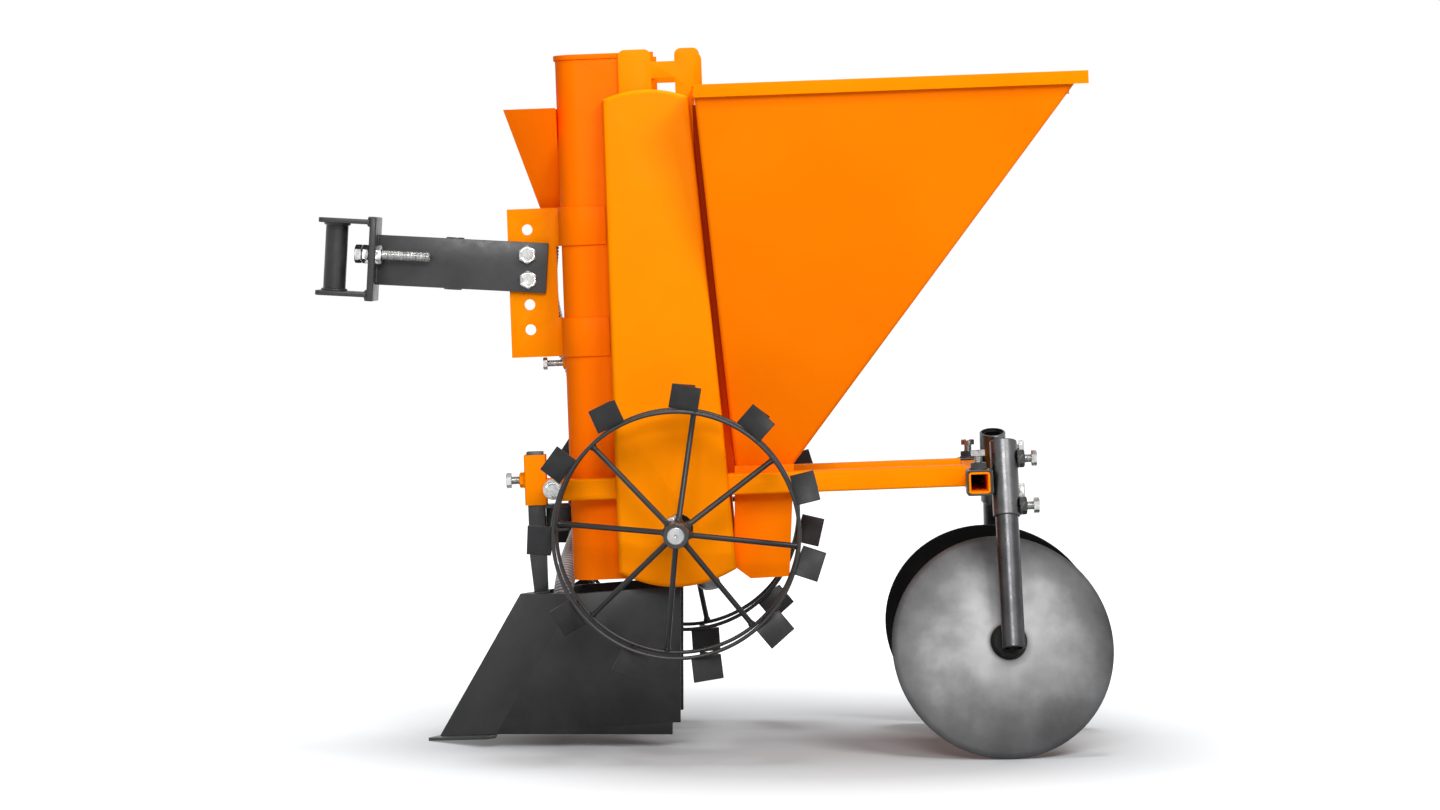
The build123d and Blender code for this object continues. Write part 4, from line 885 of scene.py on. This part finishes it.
lug_face, lug_leg, lug_thick, lug_length, lug_turn = 37.0, 64.0, 3.5, 28.0, math.radians(22)
lug_seat, lug_proud, lug_bend, lug_edge = 1.2, 1.0, 2.5, 1.8
wide = Vector((math.cos(lug_turn), -math.sin(lug_turn), 0))
narrow = Vector((-math.sin(lug_turn), -math.cos(lug_turn), 0))


def lug_point(from_bend, along_narrow):
    """Point of the lug's section; the bend is at the far end of the leg that faces outward."""
    return wide * (lug_face - from_bend) + narrow * along_narrow


angle_iron = arc((lug_bend, lug_bend), lug_bend, 180, 270, 4) + [(lug_face, 0)]
angle_iron += arc((lug_face - lug_edge, lug_thick - lug_edge), lug_edge, 0, 90, 3)
angle_iron += arc((lug_thick + lug_bend, lug_thick + lug_bend), lug_bend, 270, 180, 4)
angle_iron += arc((lug_thick - lug_edge, lug_leg - lug_edge), lug_edge, 0, 90, 3) + [(0, lug_leg)]
lug_parts = [eased(plate([lug_point(*corner) for corner in angle_iron], (0, 0, lug_length)), 0.4)]
for ends in (((26, -0.6), (36.5, -0.6)), ((-0.6, 56), (-0.6, 63))):
    lug_parts.append(bead([lug_point(*end) + Vector((0, 0, -0.5)) for end in ends], 1.7))
lug = joined(*lug_parts)
hub = ring(hub_outer, axle_thick + 0.2, hub_length, 1.0)
hub_bolt = bolt(m8, hub_bolt_bite)
hub_bolts = []
lug_leans = {
    "left": (0.0, 1.5, -2.5, -2.2, 0.0, 0.5, 0.3, 0.7, -0.5, -1.0, 0.7),
    "right": (3.0, 0.0, 0.8, -0.6, 1.2, -1.0, 0.4, -0.8, 0.6, -4.5, -0.8),
}
for side, sign, spoke_phase, lug_phase in (("left", -1, 83.6, 78.4), ("right", 1, -77.4, -18.2)):
    centre = sign * wheel_y
    left_hoop, right_hoop = sorted((sign * hoop_out, sign * (hoop_out - hoop_gap)))
    hoops = [copied(hoop, Matrix.Translation((0, y, 0))) for y in (left_hoop, right_hoop)]
    spokes, lugs = [], []
    for angle in leaning(spoke_phase, spoke_leans):
        root, tip = around(angle, spoke_start, right_hoop - spoke_slant), around(angle, spoke_end, right_hoop)
        spokes.append(copied(spoke, aimed(root, tip - root)))
    for angle in leaning(lug_phase, lug_leans[side]):
        foot = around(angle, hoop_radius + lug_seat, left_hoop - lug_proud)
        turn = Matrix((around(angle + 90, 1, 0), (0, -1, 0), around(angle, 1, 0))).transposed().to_4x4()
        lugs.append(copied(lug, Matrix.Translation(foot) @ turn))
    hubs = [copied(hub, aimed((0, centre - hub_length / 2, 0)))]
    for pieces, name, node, finish in (
        (hoops, "hoop_bars", "hoops", wheel_black), (spokes, "spoke_bars", "spokes", wheel_black),
        (lugs, "lug_irons", "lugs", lug_grey), (hubs, "hub_tube", "hub", None),
    ):
        settle(joined(*pieces), f"{side}_wheel_{name}", "wheels", "dark_paint", f"{side}_wheel_{node}", finish=finish)
    seat = around(hub_bolt_angle, hub_outer / 2 + 0.1, centre - sign * (hub_length / 2 - m8))
    hub_bolts.append(copied(hub_bolt, aimed(seat, -around(hub_bolt_angle, 1, 0))))
settle(joined(*hub_bolts), "hub_set_bolt_pair", "wheels", "zinc", "hub_set_bolts")
retired(hoop, spoke, lug, hub, hub_bolt)

# Hitch straps and plate: two bands of 3 mm sheet folded round the chute carry an upright plate, in whose five
# holes the drawbar is bolted higher or lower. Cut, folded, welded and painted with the body; the straps are
# drawn a deeper orange as painted shade.
strap_sheet, strap_height, strap_back = 3.0, 46.0, -74.0
strap_gap = strap_sheet + 0.1
strap_front = chute_front - strap_gap
strap_levels = (228.0, 360.0)
straps = []
for level in strap_levels:
    straps.append(eased(wrapped(
        strap_front, strap_back, body_half + strap_gap, chute_corner + strap_gap, strap_sheet,
        level - strap_height / 2, level + strap_height / 2,
    ), 0.7))
settle(joined(*straps), "hitch_strap_pair", "frame", "orange_paint", "hitch_straps", finish=painted_shade_orange)
plate_front, plate_half, plate_window = -195.0, 3.0, 5.0
plate_low, window_low = strap_levels[0] - strap_height / 2, strap_levels[0] + strap_height / 2
window_high, plate_high = strap_levels[1] - strap_height / 2, strap_levels[1] + strap_height / 2
plate_plan = [
    (plate_front, plate_low), (strap_front, plate_low), (strap_front, window_low),
    (strap_front - plate_window, window_low), (strap_front - plate_window, window_high), (strap_front, window_high),
    (strap_front, plate_high), (plate_front, plate_high),
]
hitch_plate = panel(plate_plan, -plate_half, 2 * plate_half)
hitch_hole_x, hitch_hole, hole_levels = -171.5, 13.0, (238.0, 268.0, 298.0, 328.0, 358.0)
for level in hole_levels:
    bored(hitch_plate, hitch_hole / 2, 40, aimed((hitch_hole_x, -20, level)))
plate_welds = [
    bead([(strap_front, side * plate_half, low + 2), (strap_front, side * plate_half, low + strap_height - 2)], 1.6)
    for side in (-1, 1) for low in (plate_low, window_high)
]
settle(joined(eased(hitch_plate, 0.6), *plate_welds), "hitch_plate_drilled", "frame", "orange_paint", "hitch_plate")

# Drawbar: a flat bar of 8 mm, held on the hitch plate by two M12 bolts, with a short sleeve welded behind it for a
# second hitch point. Painted dark grey; it points a little upwards.
drawbar_level, drawbar_rise = 313.0, math.radians(5)
drawbar_place = stance @ Matrix.Translation((hitch_hole_x, 0, drawbar_level)) @ Matrix.Rotation(drawbar_rise, 4, "Y")
bar_near, bar_far, bar_half, bar_rear = -11.0, -3.0, 30.0, 23.0
head_back, head_face = -181.5, -189.5
bar_parts = [eased(bar_stock((head_back, bar_near, -bar_half), (bar_rear, bar_far, bar_half)), 0.9)]
for y in (bar_near, bar_far):
    bar_parts.append(bead([(head_back + 0.6, y, 2 - bar_half), (head_back + 0.6, y, bar_half - 2)], 2.2))
settle(joined(*bar_parts), "drawbar_flat", "frame", "dark_paint", "drawbar", place=drawbar_place)
sleeve_x, sleeve_y, sleeve_half, sleeve_outer, sleeve_bore = -90.0, 8.1, 31.5, 22.0, 16.0
bar_sleeve = ring(sleeve_outer, sleeve_bore, 2 * sleeve_half, 0.8)
moved(bar_sleeve, Matrix.Translation((sleeve_x, sleeve_y, -sleeve_half)))
settle(bar_sleeve, "drawbar_sleeve_tube", "frame", "dark_paint", "drawbar_sleeve", place=drawbar_place)
drawbar_grip = 26.0
drawbar_bolt, drawbar_nut = bolt(m12, drawbar_grip), nut(m12)
parts = []
for level in hole_levels[2:4]:
    parts.append(copied(drawbar_bolt, aimed((hitch_hole_x, bar_near, level))))
    parts.append(copied(drawbar_nut, aimed((hitch_hole_x, plate_half, level))))
settle(joined(*parts), "drawbar_bolt_pair", "frame", "zinc", "drawbar_bolts")
retired(drawbar_bolt)

# Hitch head: two shelves of flat bar welded to a back plate, with a sleeve for the hitch pin between them. The
# welds are thick and left as laid, under the dark paint.
head_front, head_high, head_low, shelf, head_half = -251.0, 47.5, -45.5, 6.0, 35.0
back_plate = bar_stock((head_face, -head_half, head_low - 4.5), (head_back, head_half, head_high + 3.5))
head_parts = [eased(back_plate, 1.6, 3)]
pin_x, pin_outer, pin_bore = -231.5, 26.9, 20.0
for low in (head_low, head_high - shelf):
    block((head_front, -head_half, low), (head_face, head_half, low + shelf))
    rounded(lambda edge: middle(edge).x < head_front + 1 and abs(middle(edge).y) > head_half - 1, 6)
    tongue = bored(closed_up(), pin_bore / 2, shelf + 24, Matrix.Translation((pin_x, 0, low - 10)))
    head_parts.append(eased(tongue, 1.2, 3))
for z, size in ((head_high, 3.2), (head_high - shelf, 3.6), (head_low, 3.6), (head_low + shelf, 3.6)):
    head_parts.append(bead([(head_face, 1 - head_half, z), (head_face, head_half - 1, z)], size))
for x in (head_face - 2, head_back - 3):
    for z in (head_high + 1.5, head_low - 2.5):
        head_parts.append(bead([(x, 1.5 - head_half, z), (x + 3, 1.5 - head_half, z)], 2.6))
settle(joined(*head_parts), "hitch_head_welded", "frame", "dark_paint", "hitch_head", place=drawbar_place)


def collar(place, way, radius, size):
    """Weld bead round a bar or nut that stands on a face."""
    turn = aimed(place, way)
    return bead([turn @ Vector((x, y, 0)) for x, y in arc((0, 0), radius, 0, 350, 40)], size)


sleeve_low, sleeve_high = head_low + shelf, head_high - shelf
pin_tube = ring(pin_outer, pin_bore, sleeve_high - sleeve_low, 0.2)
sleeve_parts = [moved(pin_tube, Matrix.Translation((pin_x, 0, sleeve_low)))]
for z in (sleeve_low + 0.6, sleeve_high - 0.6):
    sleeve_parts.append(collar((pin_x, 0, z), (0, 0, 1), pin_outer / 2 + 0.4, 2.4))
settle(joined(*sleeve_parts), "hitch_pin_sleeve", "frame", "dark_paint", "hitch_sleeve", place=drawbar_place)

# Stop screws: M12 screws through the back plate limit how far the tractor's hitch swings. Each has a nut welded
# behind the plate and a lock nut in front of it.
screw_y, screw_z, screw_length = 25.0, 6.0, 81.0
nut_height = head_ratio * m12
stop_screw = bolt(m12, screw_length)
parts = []
for side, sign in (("left", -1), ("right", 1)):
    screw = copied(stop_screw, aimed((head_face - nut_height - 1, sign * screw_y, screw_z), (1, 0, 0)))
    screw_body = f"{side}_stop_screw"
    settle(screw, f"{screw_body}_bolt", screw_body, "zinc", screw_body, place=drawbar_place)
    for x, way in ((head_face, -1), (head_back, 1)):
        parts.append(copied(drawbar_nut, aimed((x, sign * screw_y, screw_z), (way, 0, 0))))
settle(joined(*parts), "stop_screw_nut_set", "frame", "zinc", "stop_screw_nuts", place=drawbar_place)
retired(stop_screw, drawbar_nut)

# Opener socket: square tube welded to the front crossmember. Its set bolt runs in a welded nut and clamps the
# opener's shank; another such nut and bolt sit low on the chute's front.
socket_x, socket_half, socket_low, socket_high = -172.0, 13.0, 28.0, 88.0
socket = square_tube(
    (socket_x - socket_half, -socket_half, socket_low), (socket_x + socket_half, socket_half, socket_high), 2, 2.7, 2.0,
)
socket_back, socket_front = socket_x + socket_half, socket_x - socket_half
socket_welds = []
for rise in (-6.5, 6.5):
    weld_x, weld_z = socket_back + 1.2, crossmember_z + rise
    socket_welds.append(bead([(weld_x, 1 - socket_half, weld_z), (weld_x, socket_half - 1, weld_z)], 2.2))
settle(joined(eased(socket, 0.5), *socket_welds), "opener_socket_tube", "frame", "orange_paint", "opener_socket")
boss_height, bolt_proud, socket_bite = 8.0, 8.0, 2.9
set_nuts, set_bolts = [], []
for face, level, size, reach, bite in (
    (socket_front, 58.0, m10, boss_height + bolt_proud + socket_bite, socket_bite),
    (chute_front, 196.8, m8, boss_height + 2 * bolt_proud, 0.0),
):
    set_nuts.append(moved(nut(size), aimed((face, 0, level), (-1, 0, 0))))
    set_nuts.append(collar((face - 0.5, 0, level), (-1, 0, 0), 0.88 * size, 1.3))
    set_bolts.append(moved(bolt(size, reach), aimed((face + bite - reach, 0, level), (1, 0, 0))))
settle(joined(*set_nuts), "welded_set_nuts", "frame", "orange_paint")
settle(joined(*set_bolts), "set_bolt_pair", "frame", "zinc", "set_bolts")

# Opener: two folded side plates of 4 mm meet in the nose, with a cap plate between them and a pointed share
# underneath. It hangs on a square shank with a short channel behind it as a stay; all painted dark grey.
plate_nodes = ("opener_left_plate", "opener_right_plate", "opener_cap")
folded = [eased_copy(node, 0.8) for node in plate_nodes]
opener_black = dark_coat("opener_black", 0.02, 0.25)
settle(
    joined(*folded), "opener_folded_plates", "opener", "dark_paint", *plate_nodes, place=row_frame, finish=opener_black,
)
own_shape("opener_share", 0.6, "opener_share_plate", "opener", "dark_paint")
own_shape("opener_stay", 0.9, "opener_stay_channel", "opener", "dark_paint")
shank_half, shank_low, shank_high, shank_bend, shank_taper = 10.0, -79.0, 92.0, -34.0, 4.0
shank_front, shank_back = socket_x - shank_half, socket_x + shank_half
shank = block((shank_front, -shank_half, shank_low), (shank_back, shank_half, shank_high))
sliced((0, 0, shank_bend), (0, 0, 1))
picked("verts", lambda vertex: vertex.co.z < shank_low + 1 and vertex.co.x < socket_x)
bpy.ops.transform.translate(value=(shank_taper, 0, 0))
closed_up()
foot_front, foot_z = shank_front + shank_taper, shank_low + 2
foot_line = [
    (foot_front, -shank_half, foot_z), (shank_back, -shank_half, foot_z), (shank_back, shank_half, foot_z),
    (foot_front, shank_half, foot_z), (foot_front, 1 - shank_half, foot_z),
]
settle(joined(eased(shank, 1.2), bead(foot_line, 1.8)), "opener_shank_bar", "opener", "dark_paint", "opener_shank")

# Disc clamps: a square sleeve slides on the crossbar, and a bright drawn tube for the stand is welded behind it.
# Nuts welded on both take zinc-plated set bolts; the sleeves are painted dark grey. A plug closes the bar's far end.
tube_steel = steel(
    "tube_steel", (50.0, 5.0), (0.085, 0.085, 0.087), (0.125, 0.125, 0.128), (130.0, 4.0), 0.26, 0.38,
)
clamp_y, clamp_half, clamp_outer, clamp_wall = 132.0, 17.0, 30.0, 2.2
tube_outer, tube_bore, tube_above, tube_below = 32.0, 26.9, 48.0, 42.0
lean = math.radians(17)
down = Vector((0, math.sin(lean), -math.cos(lean)))
pivot = Vector((crossbar_x + clamp_outer / 2 + tube_outer / 2 - 0.5, clamp_y, crossbar_z))
clamp_corner = Vector((clamp_outer / 2, clamp_half, clamp_outer / 2))
clamp_middle = Vector((crossbar_x, clamp_y, crossbar_z))
clamp_sleeve = eased(square_tube(clamp_middle - clamp_corner, clamp_middle + clamp_corner, 1, clamp_wall, 3.5), 0.5)
clamp_tube = ring(tube_outer, tube_bore, tube_above + tube_below, 0.8)
moved(clamp_tube, aimed(pivot + down * tube_below, -down))
clamp_parts, clamp_screws = [clamp_sleeve], []
boss_across, clamp_bite, tube_drops = 18.0, 2.6, (-26.5, 30.0)
set_nut = hexagon(boss_across, boss_height + 1, bore=m10 + 0.2, both=True)
clamp_bolt = bolt(m10, 2 * boss_height + clamp_bite)
seats = [(clamp_middle + Vector((0, 0, clamp_outer / 2)), Vector((0, 0, 1)))]
seats += [(pivot + down * drop + Vector((tube_outer / 2, 0, 0)), Vector((1, 0, 0))) for drop in tube_drops]
for seat, way in seats:
    clamp_parts.append(copied(set_nut, aimed(seat - way, way)))
    clamp_parts.append(collar(seat + 0.3 * way, way, 9.4, 1.7))
    clamp_screws.append(copied(clamp_bolt, aimed(seat + 2 * boss_height * way, -way)))
for side in (-1, 1):
    weld_side = Vector((1.5 - tube_outer / 2, side * 6, 0))
    clamp_parts.append(bead([pivot + weld_side - down * 15, pivot + weld_side + down * 15], 2.2))
clamp, clamp_set = joined(*clamp_parts), joined(*clamp_screws)
for side, place in both_sides:
    settle(copied(clamp, place), f"{side}_clamp_body", f"{side}_clamp", "dark_paint", f"{side}_disc_clamp")
    settle(copied(clamp_set, place), f"{side}_clamp_bolt_set", f"{side}_clamp", "zinc")
    settle(copied(clamp_tube, place), f"{side}_clamp_tube", f"{side}_clamp", "dark_paint", finish=tube_steel)
retired(clamp, clamp_set, clamp_tube, set_nut, clamp_bolt)
plug_half, plug_wall = crossbar_size / 2 - rail_wall - 0.2, 1.5
plug_corner = Vector((plug_half, 6, plug_half))
plug_middle = crossbar_middle + Vector((0, crossbar_half - 8, 0))
plug = block(plug_middle - plug_corner, plug_middle + plug_corner)
picked("faces", lambda face: face.normal.y < -0.9)
bpy.ops.mesh.inset(thickness=plug_wall)
bpy.ops.mesh.extrude_region_move(TRANSFORM_OT_translate={"value": (0, 10, 0)})
closed_up()
settle(eased(plug, 0.5), "crossbar_end_plug", "frame", "dark_paint")

# Disc stands: lengths of steel pipe that turn in the clamps, with a stub axle welded in near the foot, on which a
# nut keeps the disc's hub. Blued dark, and smooth from drawing.
blued_steel = steel("blued_steel", (40.0, 5.0), (0.05, 0.05, 0.052), (0.085, 0.085, 0.088), (130.0, 4.0), 0.26, 0.4)
stand_outer, stand_bore, stand_above, stub_drop, stand_foot = 26.8, 21.6, 45.0, 184.9, 13.0
stub_outer, hub_near, disc_hub = 16.0, 15.4, 24.0
toe = math.radians(9.5)
outward = Vector((math.sin(toe), math.cos(toe) * math.cos(lean), math.cos(toe) * math.sin(lean)))
stub_middle = pivot + down * stub_drop
stand_pipe = ring(stand_outer, stand_bore, stand_above + stub_drop + stand_foot, 0.8)
moved(stand_pipe, aimed(stub_middle + down * stand_foot, -down))
stub_reach = hub_near + disc_hub + 0.3
stub = moved(shaft(stub_outer, stub_reach), aimed(stub_middle, -outward))
stub_nut = hexagon(hex_ratio * stub_outer, head_ratio * stub_outer, both=True)
moved(stub_nut, aimed(stub_middle - outward * stub_reach, -outward))
stand = joined(stand_pipe, stub, stub_nut, collar(stub_middle - outward * 13.8, -outward, 8.4, 2.0))
for side, place in both_sides:
    pipe = copied(stand, place)
    settle(pipe, f"{side}_stand_pipe", f"{side}_stand", "bare_steel", f"{side}_disc_stand", finish=blued_steel)
retired(stand)

# Covering discs: dishes pressed from 3 mm sheet with a bevelled rim, each welded to a turned hub. The round side is
# bare rolled steel, cloudy, and painted darker to the rim where its reflection dims; the hollow side and the hub are
# near black, dark mill scale deepened with painted shade.
rolled_steel, rolled_shader, rolled_place = mixed("rolled_steel", Metallic=1.0)
disc_radius, disc_sphere, disc_sheet, disc_offset = 132.0, 350.0, 3.0, 14.0


def marks(piece, name, values):
    """Give every vertex a value that the finish can read."""
    piece.data.attributes.new(name, "FLOAT", "POINT").data.foreach_set("value", values)


def marked(tone, name):
    """Read such a value."""
    return tone.node("ShaderNodeAttribute", {"attribute_name": name}, {}, "Fac")


# How far out each vertex lies paints the round side darker towards its rim, as a painted reflection; the second mark
# paints the hollow side and the hub near black, mill scale with painted shade.
reach, hollow = marked(rolled_place, "reach"), marked(rolled_place, "hollow")
cloud = rolled_place.noise(11.0, 6.0, 0.55)
disc_cloud_and_painted_rim_shade = cloud * 0.75 + (1.0 - reach) * 0.5 - 0.06
disc_hue = disc_cloud_and_painted_rim_shade.ramp(
    (0.2, (0.055, 0.055, 0.056)), (0.45, (0.125, 0.125, 0.127)), (0.65, (0.23, 0.23, 0.23)), (0.9, (0.33, 0.33, 0.33)),
)
scale_and_painted_shade_hue = cloud.ramp((0.3, (0.012, 0.012, 0.012)), (0.7, (0.028, 0.028, 0.027)))
feed(
    rolled_shader, Base_Color=hollow.over(scale_and_painted_shade_hue, disc_hue),
    Roughness=rolled_place.noise(26.0, 5.0).span(0.3, 0.7, 0.5, 0.62),
    Normal=relief(rolled_place.noise(420.0, 4.0), 0.0001, 0.25),
)
hub_half, hub_radius, fillet = disc_hub / 2, 20.0, 5.5


def sphere_rise(radius, inset):
    """Height of the dish's outer sphere, or of one inset from it, at a radius."""
    return math.sqrt((disc_sphere - inset) ** 2 - radius ** 2) - disc_sphere


rings_out = [hub_radius + fillet + (disc_radius - 1.2 - hub_radius - fillet) * step / 20 for step in range(21)]
dish = [(8.2, hub_half), (hub_radius - 1.5, hub_half), (hub_radius, hub_half - 1.5), (hub_radius, 4.6)]
dish += [(hub_radius + 0.9, 2.2), (hub_radius + 2.6, 0.5)]
dish += [(radius, sphere_rise(radius, 0)) for radius in rings_out]
dish += [(disc_radius, sphere_rise(disc_radius, 0) - 0.9), (disc_radius, sphere_rise(disc_radius, disc_sheet) + 0.4)]
dish += [(radius, sphere_rise(radius, disc_sheet)) for radius in rings_out[::-1]]
dish += [(hub_radius, sphere_rise(hub_radius, disc_sheet) - 2), (hub_radius, 1.5 - hub_half)]
dish += [(hub_radius - 1.5, -hub_half), (8.2, -hub_half), (8.2, hub_half)]
disc = smoothed(turned(dish, 96), 40)
disc_places = [(math.hypot(vertex.co.x, vertex.co.y), vertex.co.z) for vertex in disc.data.vertices]
# Mark how far out each vertex lies, for the painted darkening to the rim, and mark the hollow side and the hub for
# painted shade.
marks(disc, "reach", [radius / disc_radius for radius, height in disc_places])
marks(disc, "hollow", [
    float(radius < hub_radius + 1 or height < sphere_rise(radius, 0) - 1.2) for radius, height in disc_places
])
moved(disc, aimed(stub_middle - outward * (stand_outer / 2 + disc_offset), outward))
for side, place in both_sides:
    dished = copied(disc, place)
    settle(dished, f"{side}_disc_dish", f"{side}_disc", "bare_steel", f"{side}_disc", finish=rolled_steel)
retired(disc)

# Fertiliser hopper and gate: a small funnel of sheet on the chute's front, with an outlet box and spigot for the
# hose, and a slide through the box that sets the flow.
# The funnel takes the deepest copy of the orange, as painted shade.
own_shape("fertiliser_hopper", 0.6, "fertiliser_hopper_funnel", "frame", "orange_paint", painted_shade_orange)
own_shape("fertiliser_gate", 0.5, "fertiliser_gate_slide", "gate", "bare_steel")

# Fertiliser hose: pale plastic moulded with ribs, its grooves painted dark as shade, pushed over the spigot. It hangs
# down beside the chute and ends inside the opener.
hose_route = [
    (-145.5, 30, 371), (-147, 31, 338), (-154, 57, 295), (-150, 84, 246), (-126, 100, 190), (-113, 107, 118),
    (-113, 108, 48), (-121, 103, -1), (-134, 77, -32), (-141, 43, -54), (-145, 13, -79), (-147, -3, -105),
]
hose_line, hose_spline = curve("hose_line", "NURBS", [stance @ Vector(place) for place in hose_route])
hose_line.resolution_u = 24
hose_spline.order_u = 3
hose_spline.use_endpoint_u = True
hose_guide = linked("hose_guide", hose_line)
bpy.context.view_layer.update()
hose_points = [vertex.co.copy() for vertex in bpy.data.meshes.new_from_object(hose_guide).vertices]
retired(hose_guide)


def tube_rings(stations, radii, sides):
    """Corners of the rings across a line; each ring's sides keep in step with the one before."""
    corners, across = [], Vector((0, 1, 0))
    for (place, direction), radius in zip(stations, radii):
        across = (across - direction * across.dot(direction)).normalized()
        other = direction.cross(across)
        for side in range(sides):
            turn = 2 * math.pi * side / sides
            corners.append(place + radius * (math.cos(turn) * across + math.sin(turn) * other))
    return corners


hose_outer, hose_valley, hose_bore = 0.012, 0.0099, 0.009
rib_profile = (0.0, 0.35, 0.85, 1.0, 0.85, 0.35)
rib_pitch, hose_sides = 0.0042, 32
hose_stations = along(hose_points, rib_pitch / len(rib_profile))
outside = tube_rings(hose_stations, [
    hose_valley + (hose_outer - hose_valley) * rib_profile[number % len(rib_profile)]
    for number in range(len(hose_stations))
], hose_sides)
bore_stations = hose_stations[::len(rib_profile)] + hose_stations[-1:]
inside = tube_rings(bore_stations, [hose_bore] * len(bore_stations), hose_sides)
rings = [list(range(start, start + hose_sides)) for start in range(0, len(outside) + len(inside), hose_sides)]
outer_rings = rings[:len(hose_stations)]
inner_rings = rings[len(hose_stations):]
hose_loop = outer_rings + inner_rings[::-1] + outer_rings[:1]
hose_faces = [
    (low[side - 1], low[side], high[side], high[side - 1])
    for low, high in zip(hose_loop, hose_loop[1:]) for side in range(hose_sides)
]
hose_mesh = bpy.data.meshes.new("fertiliser_hose_ribbed")
hose_mesh.from_pydata(outside + inside, [], hose_faces)
hose = linked("fertiliser_hose_ribbed", hose_mesh)
hose_mesh.shade_smooth()
hose_plastic, hose_shader, hose_place = mixed("hose_plastic", Specular_IOR_Level=0.4)
ribs = [rib_profile[number // hose_sides % len(rib_profile)] for number in range(len(outside))]
marks(hose, "rib", ribs + [0.5] * len(inside))
# The crests keep the plastic's pale colour; the grooves between them are painted near black as shade.
groove_painted_shade_hue = hose_place.noise(35.0, 4.0).ramp((0.3, (0.05, 0.05, 0.05)), (0.7, (0.08, 0.08, 0.08)))
crest_hue = hose_place.noise(35.0, 4.0).ramp((0.3, (0.84, 0.84, 0.83)), (0.7, (0.93, 0.93, 0.92)))
hose_hue = marked(hose_place, "rib").over(crest_hue, groove_painted_shade_hue)
feed(hose_shader, Base_Color=hose_hue, Roughness=hose_place.noise(90.0).span(0.3, 0.7, 0.38, 0.55))
hose_mesh.materials.append(hose_plastic)
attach(hose, "frame")
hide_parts("fertiliser_hose")

# The solids under these pieces: each wears the finish of its own slot, so that one that shows anywhere looks like
# the piece that stands for it.
finishes["hose_plastic"] = hose_plastic
for part in frame["record"]["subparts"]:
    node = frame["nodes"][part["node"]]
    node.data.materials.clear()
    node.data.materials.append(finishes[part["material_slot"]])
